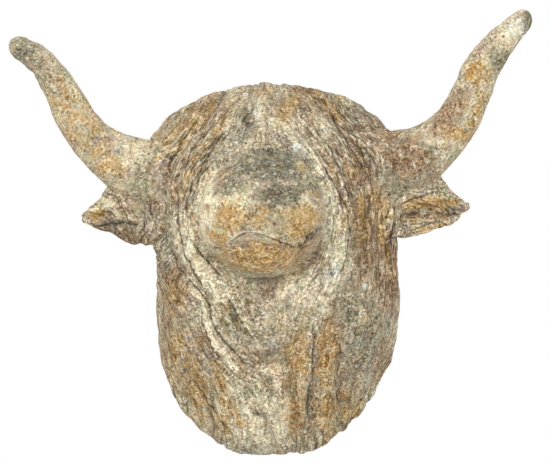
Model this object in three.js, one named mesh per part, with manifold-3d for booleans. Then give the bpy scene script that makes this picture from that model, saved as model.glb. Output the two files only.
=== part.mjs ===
// A carved stone cow head for a wall, in millimetres.
// X runs to the viewer's right, Y towards the wall and Z up.
// The origin is the middle of the iron bar that the head hangs by.

import * as THREE from 'three';
import { ParametricGeometry } from 'three/addons/geometries/ParametricGeometry.js';
import { mergeVertices } from 'three/addons/utils/BufferGeometryUtils.js';
import Module from 'manifold-3d';

const wasm = await Module();
wasm.setup();

const { degToRad, lerp, smoothstep } = THREE.MathUtils;

// Driving sizes of the head
const crownHalfWidth = 146; // at the shoulder line, under the horns
const crownRise = 93; // from the shoulder line to the top of the crown
const shoulderZ = 2; // height of the shoulder line over the hanging bar
const crownMiddleX = -3;
const jawHalfWidth = 137.5; // where the throat starts to round in
const jawZ = -180; // height of that line
const throatDrop = 159; // from the jaw line to the lowest edge
const jawMiddleX = 0;
const waistZ = -62; // the sides draw in most sharply down to here, under the ears
const crownFullness = 1.4; // 2 is a true ellipse, less is a sloping forehead
const cheekFullness = 2;
const throatFullness = 1.85;

// Driving sizes of the muzzle
const muzzleX = -16; // middle of the muzzle, a little to the left
const muzzleZ = -58;
const muzzleRadius = 71;
const muzzleFootReach = 1.12; // foot of the muzzle, in muzzle radii
const muzzleFootDepth = 160; // from the wall to the cheeks beside the muzzle
const browLead = 14; // how much further out the foot lies above than at the sides
const throatSetback = 22; // how much nearer the wall it lies below
const bridgeRise = 3; // step from the forehead up to the muzzle
const sideRise = 30; // step from the cheeks
const chinRise = 34; // step from the throat
const padCrown = 34; // swell of the muzzle's face
const padFullness = 3.4;
const bridgeFullness = 2;
const lobeHeight = 4; // two low swellings of the upper lip, where nostrils would be
const lobeX = 45; // each side of the muzzle's middle
const lobeDrop = 10;
const lobeSpread = 19;
const cornerNotch = 5; // how far the muzzle draws in at the corners of the mouth
const cornerAngle = degToRad(47); // corners of the mouth, below the level
const cornerSpread = degToRad(14);

// Mouth and lower lip
const mouthMiddleX = 5; // from the muzzle's middle
const mouthHalfWidth = 42;
const mouthDrop = 36.5; // ends of the mouth, below the middle of the muzzle
const mouthArch = 10;
const mouthLean = 1.2; // moves the top of the arch to the left
const mouthTilt = 3; // the right end hangs this far below the line, and the left one stands above it
const mouthSlitHeight = 5;
const mouthSlitDepth = 7;
const mouthLinePieces = 14; // straight stretches of the slit
const mouthEndShare = 0.6; // the slit would fade to nothing this share of a stretch past its ends
const lipSetback = 6; // the lower lip lies behind the upper one
const lipEase = 5; // height over which it steps back
const lipOverrun = 6; // the lip runs past the end of the mouth by this, fading out

// Combed hair: locks fall past both sides of the muzzle, and pleats run down the throat
const lockHeight = 3.2;
const lockTop = degToRad(34); // the locks begin this far above the level of the muzzle's middle
const lockFoot = degToRad(-38); // and give way to the pleats this far below it
const lockFade = degToRad(24);
const lockStart = 4; // locks start this far from the muzzle's foot
const lockFull = 30; // and stand at full height this far from it
const pleatsRound = 48; // as many as would go round the whole head
const pleatHeight = 5;
const pleatSide = degToRad(-64); // direction from the muzzle in which the dewlap's pleats are deepest
const pleatSpread = degToRad(34);
const throatPleatShare = 0.5; // strength of the pleats over the rest of the throat
const pleatStart = 20; // they start this far from the muzzle's foot
const pleatFull = 110; // and stand at full height this far from it
const rimShare = 0.25; // strength of all carving at the rim on the wall, of what it is further in
const rimEase = 0.4; // share of the way in over which it comes to full strength
const throatSweep = 0.3; // 1 is pleats that fan out from the muzzle, 0 is pleats that hang straight down
const cheekRoll = 5; // fold down each cheek, beside the muzzle
const cheekRollReach = 17;
const cheekRollSpread = 8;
const cheekRollTop = [-0.5, 0.2]; // it comes up where a direction's fall is between these
const cheekRollFoot = [0.45, 0.85]; // and dies away between these

// Broad locks, with a groove between each two, fall from the crown and part round the muzzle
const broadLockHeight = 6;
const broadLockWidth = 78;
const crownX = 14; // the hair falls from here, to the right of the muzzle's middle
const crownReach = 440; // and from this far above it, measured over the round of the head
const crownFan = 130; // how strongly it fans out from there
const sideLockShare = 0.5; // strength of the broad locks beside the muzzle
const throatLockShare = 0.4; // and under it
const lockSway = 5; // they wander by this to each side
const lockSwayLength = 190; // once over this length

// Hollow back and its hanging bar
const barToWall = 22; // middle of the bar to the wall
const barDiameter = 14;
const wallThickness = 50; // stone left round the hollow
const hollowDepth = 60;
const hollowFullness = 4;
const barSeat = 26; // length of bar in the stone at each end
const chaseRoom = 6; // mortar over, under and in front of the bar
const chaseEndSpace = 6; // mortar past the end of the bar

// Horns: middle lines from the seat in the head to the tip, as [out from the head's side, forward of
// the root, up from the shoulder line], and the width at each point
const hornRootDepth = 84; // middle of the root, from the wall
const hornBed = 3; // mortar round the root
const jointRecess = 1; // the mortar stays this far under the stone's surface
const collarStart = 30; // the head's collar round each horn starts this far behind the root
const collarRoot = 24; // stone of the collar round the bed, where it starts
const collarLip = 1.5; // and where it ends
const collarFlare = 1.8; // 1 is a straight cone, more is a collar that flares towards the head
const rodDiameter = 14;
const rodInHead = 42;
const rodInHorn = 52;
const hornFlatness = 0.94; // front-to-back size of a horn, as a share of its height
const hornTipReach = 0.97; // the rounded tip stops here, as a share of its radius, in a small flat
const leftHorn = {
  side: -1,
  line: [
    [-31, 0, -14],
    [-6, 2, -10],
    [23, 6, -1],
    [64, 13, 27],
    [86, 18, 58],
    [104, 20, 91],
    [127, 17, 121],
    [160, 8, 142],
  ],
  widths: [62, 70, 71, 54, 48, 42, 36, 29],
  roundEnd: 15,
  collarReach: 33, // from the root
};
const rightHorn = {
  side: 1,
  line: [
    [-28, 0, -3],
    [-3, 2, 2],
    [26, 6, 11],
    [58, 13, 37],
    [79, 18, 71],
    [93, 20, 106],
    [116, 17, 139],
    [152, 8, 176],
  ],
  widths: [64, 73, 70, 57, 50, 46, 39, 28],
  roundEnd: 14,
  collarReach: 25,
};

// Ears: upper and lower edges from the seat in the head to the tip, as [out from the head's side,
// up from the shoulder line]
const earSideShare = 0.35; // how far the head's side there lies from the jaw's width towards the crown's
const earRootDepth = 80; // middle of the root, from the wall
const earTipDepth = 96;
const earRootThickness = 42;
const earTipThickness = 16;
const earTipRound = 7; // length of the rounded end
const earBed = 3;
const earCollarStart = -42; // the head's collar round each ear, out from the head's side
const earCollarEnd = -1;
const earCollarRoot = 18; // stone of the collar round the bed, where it starts
const earHornGap = 0.6; // open joint between an ear and the horn that it meets
const earHollowDepth = 13; // the front is cut back by this under the edge of the ear's flap
const earLean = 9; // and the flap leans back by this towards its top
const pinDiameter = 8;
const pinInHead = 34;
const pinInEar = 36;
const leftEar = {
  side: -1,
  upper: [[-21, -32], [10, -14], [42, -16], [62, -37], [81, -54]],
  lower: [[-21, -95], [8, -97], [50, -86], [67, -79], [80, -72]],
  flapEdge: -0.1, // height of the flap's edge, from -1 at the lower edge to 1 at the upper one
};
const rightEar = {
  side: 1,
  upper: [[-19, -32], [9, -8], [44, -9], [64, -29], [81, -42]],
  lower: [[-19, -83], [9, -87], [50, -80], [68, -69], [81, -58]],
  flapEdge: 0.05,
};

// Fits and facets
const fitGap = 0.3; // between touching pieces
const overshoot = 6; // how far a cutting solid runs past the face that it opens
const headSides = 2 * pleatsRound; // one facet up and one down each pleat
const domeRings = 16; // rings of facets between the wall and the muzzle
const hornSides = 20;
const hornSteps = 18;
const collarSteps = 3;
const earSides = 24;
const earSteps = 12;
const roundSides = 20;

const stone = { color: 0xafa186, roughness: 0.92, metalness: 0 };
const hornStone = { color: 0xc2b08c, roughness: 0.86, metalness: 0 };
const mortar = { color: 0xb3a993, roughness: 0.97, metalness: 0 };
const iron = { color: 0x4a3c33, roughness: 0.8, metalness: 0.6 };

// X of a place beside the horns' seats (side -1 left, 1 right), given how far out from the head it is.
function besideCrown(side, out) {
  return crownMiddleX + side * (crownHalfWidth + out);
}

// The same beside the ears, where the head is narrower.
function besideWaist(side, out) {
  const middle = lerp(jawMiddleX, crownMiddleX, earSideShare);
  return middle + side * (lerp(jawHalfWidth, crownHalfWidth, earSideShare) + out);
}

// A point at a depth from the wall, in the object's own frame.
function fromWall(x, depth, z) {
  return new THREE.Vector3(x, barToWall - depth, z);
}

// Skins rings of points: pointAt(ring, turn) gives a point for a ring number and a turn of 0 to 1.
// The first and the last ring are single points, so the skin is closed.
function skin(rings, sides, pointAt) {
  const last = rings - 1;
  return new ParametricGeometry(
    (turn, share, target) => target.copy(pointAt(Math.round(share * last), turn % 1)),
    sides,
    last,
  );
}

// The same skin with the shorter diagonal in each of its four-sided patches, so that the facets lie
// along locks and folds that cross it.
function shorterDiagonals(geometry) {
  const turned = geometry.clone();
  const corners = turned.index.array;
  const points = turned.attributes.position;
  const corner = (index) => new THREE.Vector3().fromBufferAttribute(points, index);
  for (let i = 0; i < corners.length; i += 6) {
    const [a, b, d, , c] = corners.slice(i, i + 6);
    if (corner(a).distanceTo(corner(c)) < corner(b).distanceTo(corner(d))) {
      corners.set([a, b, c, a, c, d], i);
    }
  }
  return turned;
}

// Turns a closed geometry into a solid that can be cut and joined.
function solid(geometry) {
  const bare = geometry.clone();
  bare.deleteAttribute('normal');
  bare.deleteAttribute('uv');
  const merged = mergeVertices(bare, 1e-4);
  const corners = merged.index.array;
  const kept = [];
  for (let i = 0; i < corners.length; i += 3) {
    const [a, b, c] = [corners[i], corners[i + 1], corners[i + 2]];
    if (a !== b && b !== c && c !== a) kept.push(a, b, c);
  }
  const made = new wasm.Manifold(new wasm.Mesh({
    numProp: 3,
    vertProperties: new Float32Array(merged.attributes.position.array),
    triVerts: new Uint32Array(kept),
  }));
  return made.volume() < 0 ? solid(flipped(merged)) : made;
}

// The same geometry with its faces turned over.
function flipped(geometry) {
  const turned = geometry.clone();
  const corners = turned.index.array;
  for (let i = 0; i < corners.length; i += 3) {
    [corners[i], corners[i + 1]] = [corners[i + 1], corners[i]];
  }
  return turned;
}

// Makes a named mesh of a finished solid.
function piece(name, made, finish) {
  const { vertProperties, triVerts } = made.getMesh();
  const geometry = new THREE.BufferGeometry();
  geometry.setAttribute('position', new THREE.BufferAttribute(new Float32Array(vertProperties), 3));
  geometry.setIndex(new THREE.BufferAttribute(new Uint32Array(triVerts), 1));
  geometry.computeVertexNormals();
  const mesh = new THREE.Mesh(geometry, new THREE.MeshStandardMaterial(finish));
  mesh.name = name;
  return mesh;
}

// A round bar between two points.
function roundBar(start, end, diameter) {
  const middle = start.clone().lerp(end, 0.5);
  const along = end.clone().sub(start);
  const bar = new THREE.CylinderGeometry(diameter / 2, diameter / 2, along.length(), roundSides);
  const turn = new THREE.Quaternion().setFromUnitVectors(new THREE.Vector3(0, 1, 0), along.normalize());
  bar.applyQuaternion(turn);
  bar.translate(middle.x, middle.y, middle.z);
  return solid(bar);
}

// A block given by its lowest and highest corners.
function block(low, high) {
  const size = high.clone().sub(low);
  const middle = low.clone().lerp(high, 0.5);
  const box = new THREE.BoxGeometry(size.x, size.y, size.z);
  box.translate(middle.x, middle.y, middle.z);
  return solid(box);
}

// The head's outline on the wall, drawn in by an inset: an arch, two sides that draw in under the ears,
// and a round throat whose lowest point lies under the muzzle.
function headOutline(inset) {
  const shoulderRight = crownMiddleX + crownHalfWidth - inset;
  const jawLeft = jawMiddleX - jawHalfWidth + inset;
  const jawRight = jawMiddleX + jawHalfWidth - inset;
  const drop = throatDrop - inset;
  const outline = new THREE.Path();
  outline.absellipse(
    crownMiddleX, shoulderZ, crownHalfWidth - inset, crownRise - inset, 0, Math.PI, false,
  );
  outline.quadraticCurveTo(jawLeft, waistZ, jawLeft, jawZ);
  outline.absellipse(muzzleX, jawZ, muzzleX - jawLeft, drop, Math.PI, 1.5 * Math.PI, false);
  outline.absellipse(muzzleX, jawZ, jawRight - muzzleX, drop, 1.5 * Math.PI, 2 * Math.PI, false);
  outline.quadraticCurveTo(jawRight, waistZ, shoulderRight, shoulderZ);
  return outline;
}

// How much a direction round the muzzle points up or down, eased between the sides and the ends.
function upShare(angle) {
  return smoothstep(Math.sin(angle), 0.1, 0.9);
}

function downShare(angle) {
  return smoothstep(-Math.sin(angle), 0.1, 0.9);
}

function byDirection(angle, up, side, down) {
  const upper = lerp(side, up, upShare(angle));
  return lerp(upper, down, downShare(angle));
}

// Radius of the muzzle in one direction: round, but drawn in at the corners of the mouth.
function muzzleReach(angle) {
  const fromLeft = angle + Math.PI - cornerAngle;
  const fromRight = angle + cornerAngle;
  const bell = (distance) => Math.exp(-((distance / cornerSpread) ** 2));
  return muzzleRadius - cornerNotch * (bell(fromLeft) + bell(fromRight));
}

// Depth of the foot of the muzzle in one direction.
function footDepth(angle) {
  const level = muzzleFootDepth;
  return byDirection(angle, level + browLead, level, level - throatSetback);
}

// Height of the mouth line at x from the muzzle's middle.
function mouthLine(x) {
  const share = (x - mouthMiddleX) / mouthHalfWidth;
  return mouthArch * (1 - share ** 2) * (1 - mouthLean * share) - mouthDrop - mouthTilt * share;
}

// Depth of the muzzle's face at a share q of its radius.
function muzzleDepth(angle, q) {
  const base = lerp(muzzleFootDepth, footDepth(angle), Math.min(1, (q / muzzleFootReach) ** 2));
  const step = byDirection(angle, bridgeRise, sideRise, chinRise) * (1 - smoothstep(q, 0.95, 1.12));
  const fullness = lerp(padFullness, bridgeFullness, upShare(angle));
  const swell = padCrown * (1 - Math.min(1, q) ** fullness);
  const lessThanSide = sideRise - byDirection(angle, bridgeRise, sideRise, chinRise);
  const levelRise = lessThanSide * (1 - Math.min(1, q) ** 2);
  const reach = muzzleReach(angle) * q;
  const x = reach * Math.cos(angle);
  const below = mouthLine(x) - reach * Math.sin(angle);
  const withinLip = mouthHalfWidth + lipOverrun - Math.abs(x - mouthMiddleX);
  const lip = lipSetback * smoothstep(below, 0, lipEase) * smoothstep(withinLip, 0, 2 * lipOverrun);
  const offLobe = Math.hypot(Math.abs(x) - lobeX, reach * Math.sin(angle) + lobeDrop) / lobeSpread;
  const lobe = lobeHeight * Math.exp(-(offLobe ** 2));
  return base + step + swell + levelRise + lobe - lip;
}

// Strength of the locks in a direction: full beside the muzzle, none over the crown and the throat.
function lockShare(angle) {
  const lift = Math.asin(Math.sin(angle));
  const underTop = 1 - smoothstep(lift, lockTop - lockFade, lockTop + lockFade);
  return underTop * smoothstep(lift, lockFoot - lockFade, lockFoot + lockFade);
}

// Strength of the carving, less near the rim on the wall.
function awayFromRim(ringShare) {
  return lerp(rimShare, 1, smoothstep(ringShare, 0, rimEase));
}

// Height of the locks: every other ring round the muzzle stands up.
function lockRelief(angle, ring, reach, footReach) {
  const awayFromFoot = smoothstep(reach - footReach, lockStart, lockFull);
  return (lockHeight / 2) * (ring % 2 ? 1 : -1) * lockShare(angle) * awayFromFoot;
}

// Height of the pleats, which run from the muzzle to the rim: every other line of facets stands up.
function pleatRelief(angle, turn, ringShare, reach, footReach) {
  const deepest = Math.exp(-(((angle - pleatSide) / pleatSpread) ** 2));
  const share = throatPleatShare * downShare(angle);
  const ridge = Math.cos(2 * Math.PI * pleatsRound * turn);
  const strength = Math.min(1, deepest + share) * (1 - lockShare(angle));
  const awayFromFoot = smoothstep(reach - footReach, pleatStart, pleatFull);
  return (pleatHeight / 2) * ridge * strength * awayFromRim(ringShare) * awayFromFoot;
}

// How far across the hair a place lies: the hair flows round the muzzle like water round a stone.
function acrossHair(angle, reach, footReach) {
  const x = reach * Math.cos(angle);
  const z = reach * Math.sin(angle);
  const parted = x * (1 - (footReach / reach) ** 2);
  const sway = lockSway * Math.sin((2 * Math.PI * z) / lockSwayLength);
  return parted + crownFan * Math.atan2(x - crownX, crownReach - z) + sway;
}

// Height of the broad locks: even waves across the hair.
function broadLockRelief(angle, ringShare, reach, footReach) {
  const wave = Math.cos((2 * Math.PI * acrossHair(angle, reach, footReach)) / broadLockWidth);
  const strength = byDirection(angle, 1, sideLockShare, throatLockShare);
  const awayFromFoot = smoothstep(reach - footReach, lockStart, lockFull);
  return (broadLockHeight / 2) * wave * strength * awayFromRim(ringShare) * awayFromFoot;
}

// The fold down each cheek, strongest just under the level of the muzzle's middle.
function cheekFold(angle, reach, footReach) {
  const off = (reach - footReach - cheekRollReach) / cheekRollSpread;
  const fall = -Math.sin(angle);
  const beside = smoothstep(fall, ...cheekRollTop) * (1 - smoothstep(fall, ...cheekRollFoot));
  return cheekRoll * Math.exp(-(off ** 2)) * beside;
}

// Direction from the muzzle's middle in which the line of facets to a point of the rim sets out.
// Over the throat it turns towards the sides, so that the pleats hang down instead of fanning out.
function footAngle(rim) {
  const up = rim.y - muzzleZ;
  return Math.atan2(up < 0 ? up * throatSweep : up, rim.x - muzzleX);
}

// A point on the head on one ring: ring 0 is the rim on the wall, and the last one the muzzle's foot.
function domePoint(outline, turn, ring, rings, inset, carved) {
  const share = ring / rings;
  const rim = outline.getPoint(turn);
  const across = rim.x - muzzleX;
  const up = rim.y - muzzleZ;
  const near = footAngle(rim);
  const far = Math.atan2(up, across);
  const rise = footDepth(near) - inset;
  const fullness = byDirection(far, crownFullness, cheekFullness, throatFullness);
  const outward = Math.cos((Math.PI / 2) * share) ** (2 / fullness);
  const forward = Math.sin((Math.PI / 2) * share) ** (2 / fullness);
  const foot = muzzleReach(near) * muzzleFootReach;
  const toRim = new THREE.Vector2(across - foot * Math.cos(near), up - foot * Math.sin(near));
  const run = toRim.length();
  const x = foot * Math.cos(near) + toRim.x * outward;
  const z = foot * Math.sin(near) + toRim.y * outward;
  const place = fromWall(muzzleX + x, rise * forward, muzzleZ + z);
  if (!carved) return place;
  const angle = Math.atan2(z, x);
  const overRound = foot + Math.hypot(run * outward, rise * (1 - forward));
  const height = lockRelief(angle, ring, overRound, foot)
    + pleatRelief(far, turn, share, overRound, foot)
    + broadLockRelief(angle, share, overRound, foot)
    + cheekFold(angle, overRound, foot);
  const tilt = new THREE.Vector2(outward / run, forward / rise).normalize();
  place.x += height * tilt.x * (toRim.x / run);
  place.z += height * tilt.x * (toRim.y / run);
  place.y -= height * tilt.y;
  return place;
}

// A point on the muzzle at a share q of its radius.
function muzzlePoint(outline, turn, q) {
  const angle = footAngle(outline.getPoint(turn));
  const reach = muzzleReach(angle) * q;
  const depth = muzzleDepth(angle, q);
  return fromWall(muzzleX + reach * Math.cos(angle), depth, muzzleZ + reach * Math.sin(angle));
}

// The whole outside of the head, flat on the wall side.
function carvedHead() {
  const outline = headOutline(0);
  const muzzleShares = [muzzleFootReach, 1.06, 1.01, 0.96, 0.89, 0.8, 0.69, 0.57, 0.44, 0.3, 0.15, 0];
  const backMiddle = fromWall(muzzleX, 0, muzzleZ);
  return solid(shorterDiagonals(skin(1 + domeRings + muzzleShares.length, headSides, (ring, turn) => {
    if (ring === 0) return backMiddle;
    const onDome = ring - 1;
    if (onDome < domeRings) return domePoint(outline, turn, onDome, domeRings, 0, true);
    return muzzlePoint(outline, turn, muzzleShares[onDome - domeRings]);
  })));
}

// The head without its carving, drawn in all round by an inset and closed across the muzzle's foot.
function plainHead(inset) {
  const outline = headOutline(inset);
  const rings = Math.ceil(domeRings / 2);
  const backMiddle = fromWall(muzzleX, 0, muzzleZ);
  const frontMiddle = fromWall(muzzleX, muzzleFootDepth - inset, muzzleZ);
  return solid(skin(rings + 3, headSides / 2, (ring, turn) => {
    if (ring === 0) return backMiddle;
    if (ring === rings + 2) return frontMiddle;
    return domePoint(outline, turn, ring - 1, rings, inset, false);
  }));
}

// The hollow of the back: the head's outline drawn in by the wall, with a rounded floor.
function hollow() {
  const outline = headOutline(wallThickness);
  const shares = [0, 0.2, 0.4, 0.6, 0.8];
  const mouthMiddle = fromWall(crownMiddleX, -overshoot, muzzleZ);
  const floorMiddle = fromWall(crownMiddleX, hollowDepth, muzzleZ);
  return solid(skin(shares.length + 3, headSides / 2, (ring, turn) => {
    if (ring === 0) return mouthMiddle;
    if (ring === shares.length + 2) return floorMiddle;
    const rim = outline.getPoint(turn);
    if (ring === 1) return fromWall(rim.x, -overshoot, rim.y);
    const share = shares[ring - 2];
    const inward = Math.cos((Math.PI / 2) * share) ** (2 / hollowFullness);
    const deep = Math.sin((Math.PI / 2) * share) ** (2 / hollowFullness);
    const x = lerp(crownMiddleX, rim.x, inward);
    return fromWall(x, hollowDepth * deep, lerp(muzzleZ, rim.y, inward));
  }));
}

// The slit of the mouth: a wedge that follows the face of the muzzle along the mouth line.
function mouthSlit() {
  const points = [];
  for (let i = 0; i <= mouthLinePieces; i += 1) {
    const x = mouthMiddleX + lerp(-mouthHalfWidth, mouthHalfWidth, i / mouthLinePieces);
    const z = mouthLine(x);
    const angle = Math.atan2(z, x);
    const q = Math.hypot(x, z) / muzzleReach(angle);
    points.push(fromWall(muzzleX + x, muzzleDepth(angle, q), muzzleZ + z));
  }
  const wedge = new THREE.Shape();
  wedge.moveTo(-mouthSlitDepth, 0);
  wedge.lineTo(mouthSlitDepth, -mouthSlitHeight);
  wedge.lineTo(mouthSlitDepth, mouthSlitHeight);
  wedge.closePath();
  const line = new THREE.CatmullRomCurve3(points);
  const rings = points.length + 2;
  const corners = wedge.getPoints().slice(0, 3);
  return solid(skin(rings, corners.length, (ring, turn) => {
    const index = Math.min(Math.max(ring - 1, 0), mouthLinePieces);
    const at = line.getPoint(index / mouthLinePieces);
    if (ring === 0 || ring === rings - 1) return at;
    const corner = corners[Math.round(turn * corners.length) % corners.length];
    const along = (index + mouthEndShare) / (mouthLinePieces + 2 * mouthEndShare);
    const fade = Math.sin(Math.PI * along) ** 0.5;
    return new THREE.Vector3(at.x, at.y - corner.x * fade, at.z + (corner.y / 2) * fade);
  }));
}

// The middle line of a horn as a curve.
function hornCurve(horn) {
  const points = horn.line.map(([out, forward, up]) => fromWall(
    besideCrown(horn.side, out), hornRootDepth + forward, shoulderZ + up,
  ));
  return new THREE.CatmullRomCurve3(points, false, 'centripetal');
}

// The widths of a horn as a curve, one for each point of its middle line.
function hornWidths(horn) {
  return new THREE.SplineCurve(horn.widths.map((width, i) => new THREE.Vector2(i, width)));
}

// A point of an oval ring square to a horn's middle line.
function hornRingPoint(at, along, radius, turn) {
  const toWall = new THREE.Vector3(0, 1, 0);
  const rise = new THREE.Vector3().crossVectors(along, toWall).normalize();
  const back = new THREE.Vector3().crossVectors(rise, along).normalize();
  const angle = 2 * Math.PI * turn;
  return at.clone()
    .addScaledVector(rise, radius * Math.sin(angle))
    .addScaledVector(back, radius * hornFlatness * Math.cos(angle));
}

// A horn as a solid: oval rings square to the middle line, a flat root and a rounded tip.
// A growth above zero gives the same horn, thicker all round.
function hornSolid(horn, growth) {
  const curve = hornCurve(horn);
  const widths = hornWidths(horn);
  const roundShare = horn.roundEnd / curve.getLength();
  const rings = hornSteps + 3;
  return solid(skin(rings, hornSides, (ring, turn) => {
    const step = Math.min(Math.max(ring - 1, 0), hornSteps) / hornSteps;
    const share = Math.sin((Math.PI / 2) * step);
    const along = curve.getTangentAt(share).normalize();
    const at = curve.getPointAt(share).addScaledVector(along, growth * (2 * share - 1));
    if (ring === 0 || ring === rings - 1) return at;
    const intoRound = Math.max(0, 1 - (1 - share) / roundShare);
    const width = widths.getPoint(curve.getUtoTmapping(share)).y;
    const radius = (width / 2 + growth) * Math.sqrt(1 - (hornTipReach * intoRound) ** 2);
    return hornRingPoint(at, along, radius, turn);
  }));
}

// Stone of a collar round the bed, at a step of 0 to 1 along it.
function collarWall(atRoot, step) {
  return lerp(collarLip, atRoot, (1 - step) ** collarFlare);
}

// The head's collar round the root of a horn, drawn in by an inset.
function hornCollar(horn, inset) {
  const curve = hornCurve(horn);
  const widths = hornWidths(horn);
  const rings = collarSteps + 3;
  return solid(skin(rings, hornSides, (ring, turn) => {
    const step = Math.min(Math.max(ring - 1, 0), collarSteps) / collarSteps;
    const reach = lerp(-collarStart, horn.collarReach - inset, step);
    const share = Math.max(0, reach) / curve.getLength();
    const along = curve.getTangentAt(share).normalize();
    const at = curve.getPointAt(share).addScaledVector(along, Math.min(0, reach));
    if (ring === 0 || ring === rings - 1) return at;
    const width = widths.getPoint(curve.getUtoTmapping(share)).y;
    return hornRingPoint(at, along, width / 2 + hornBed + collarWall(collarRoot, step) - inset, turn);
  }));
}

// The two ends of the rod that pins a horn: one in the head and one in the horn.
function rodEnds(horn) {
  const curve = hornCurve(horn);
  const root = curve.getPoint(0);
  const along = curve.getTangent(0).normalize();
  return [root.clone().addScaledVector(along, -rodInHead), root.clone().addScaledVector(along, rodInHorn)];
}

// A bar lengthened at both ends and thickened, for the bore that takes it.
function grownBar([start, end], diameter, growth) {
  const along = end.clone().sub(start).normalize();
  return roundBar(
    start.clone().addScaledVector(along, -growth), end.clone().addScaledVector(along, growth),
    diameter + 2 * growth,
  );
}

// The edges of an ear as curves over its length.
function earEdges(ear) {
  const edge = (points) => new THREE.SplineCurve(points.map(([out, up]) => new THREE.Vector2(
    besideWaist(ear.side, out), shoulderZ + up,
  )));
  return { upper: edge(ear.upper), lower: edge(ear.lower) };
}

// How far the front of an ear is cut back, at a height of -1 to 1 and a share of its length: the flap
// leans back towards its top, and under its edge the ear is hollow.
function earCutBack(ear, lift, share) {
  const over = lift - ear.flapEdge;
  const hollowHere = smoothstep(-over, 0, 0.2) * lerp(1, 0.45, smoothstep(-over, 0.2, 0.9));
  const length = smoothstep(share, 0.12, 0.4) * (1 - smoothstep(share, 0.72, 1));
  return (earHollowDepth * hollowHere + earLean * Math.max(0, over)) * length;
}

// An ear as a solid: upright sections that narrow to a rounded tip.
function earSolid(ear, growth) {
  const { upper, lower } = earEdges(ear);
  const roundShares = [0.45, 0.8];
  const rings = earSteps + roundShares.length + 3;
  return solid(skin(rings, earSides, (ring, turn) => {
    const onEar = Math.min(Math.max(ring - 1, 0), earSteps);
    const share = onEar / earSteps;
    const roundShare = ring === rings - 1 ? 1 : roundShares[ring - earSteps - 2] ?? 0;
    const shrink = Math.sqrt(1 - roundShare ** 2);
    const top = upper.getPoint(share);
    const bottom = lower.getPoint(share);
    const middle = top.clone().lerp(bottom, 0.5);
    const x = middle.x + ear.side * (growth * (2 * share - 1) + earTipRound * roundShare);
    const depth = lerp(earRootDepth, earTipDepth, share ** 1.5);
    if (ring === 0 || ring === rings - 1) return fromWall(x, depth, middle.y);
    const halfHeight = (top.y - bottom.y) / 2 + growth;
    const halfThickness = lerp(earRootThickness, earTipThickness, share) / 2 + growth;
    const angle = 2 * Math.PI * turn;
    const lift = Math.sin(angle);
    const front = Math.cos(angle);
    const cut = front > 0 ? earCutBack(ear, lift, share) * shrink : 0;
    const out = halfThickness * shrink * Math.sign(front) * Math.abs(front) ** 0.7 - cut;
    return fromWall(x, depth + out, middle.y + halfHeight * shrink * lift);
  }));
}

// The head's collar round the root of an ear, drawn in by an inset.
function earCollar(ear, inset) {
  const { upper, lower } = earEdges(ear);
  const top = upper.getPoint(0).y;
  const bottom = lower.getPoint(0).y;
  const rings = collarSteps + 3;
  return solid(skin(rings, earSides, (ring, turn) => {
    const step = Math.min(Math.max(ring - 1, 0), collarSteps) / collarSteps;
    const x = besideWaist(ear.side, lerp(earCollarStart, earCollarEnd - inset, step));
    const middle = (top + bottom) / 2;
    if (ring === 0 || ring === rings - 1) return fromWall(x, earRootDepth, middle);
    const growth = earBed + collarWall(earCollarRoot, step) - inset;
    const angle = 2 * Math.PI * turn;
    return fromWall(
      x,
      earRootDepth + (earRootThickness / 2 + growth) * Math.cos(angle),
      middle + ((top - bottom) / 2 + growth) * Math.sin(angle),
    );
  }));
}

// The two ends of the pin that holds an ear.
function pinEnds(ear) {
  const { upper, lower } = earEdges(ear);
  const root = upper.getPoint(0).lerp(lower.getPoint(0), 0.5);
  return [
    fromWall(root.x - ear.side * pinInHead, earRootDepth, root.y),
    fromWall(root.x + ear.side * pinInEar, earRootDepth, root.y),
  ];
}

// Half the length of the hanging bar: the hollow's half width at the bar and its seat in the stone.
const barReach = crownHalfWidth - wallThickness + barSeat;
const chaseHeight = barDiameter + 2 * chaseRoom;
const chaseDepth = barToWall + barDiameter / 2 + chaseRoom;

// The space at one end of the bar, from a depth near the wall down to the chase's floor.
// The chase is cut a little past the wall side, and the mortar that fills it is a gap smaller.
function chase(side, nearDepth, gap) {
  const outer = crownMiddleX + side * (barReach + chaseEndSpace - gap);
  const inner = crownMiddleX + side * (barReach - barSeat);
  return block(
    fromWall(Math.min(inner, outer), chaseDepth - gap, gap - chaseHeight / 2),
    fromWall(Math.max(inner, outer), nearDepth, chaseHeight / 2 - gap),
  );
}

const barEnds = [
  new THREE.Vector3(crownMiddleX - barReach, 0, 0),
  new THREE.Vector3(crownMiddleX + barReach, 0, 0),
];
const bar = roundBar(barEnds[0], barEnds[1], barDiameter);
const barSpace = grownBar(barEnds, barDiameter, fitGap);

const sides = [
  { name: 'left', horn: leftHorn, ear: leftEar },
  { name: 'right', horn: rightHorn, ear: rightEar },
];

const cow = new THREE.Group();
const jointSkin = plainHead(jointRecess);
const underJoint = plainHead(jointRecess - fitGap);
let head = carvedHead().subtract(mouthSlit());
for (const { horn, ear } of sides) {
  head = head.add(hornCollar(horn, 0)).add(earCollar(ear, 0));
}
head = head.subtract(hollow());

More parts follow.
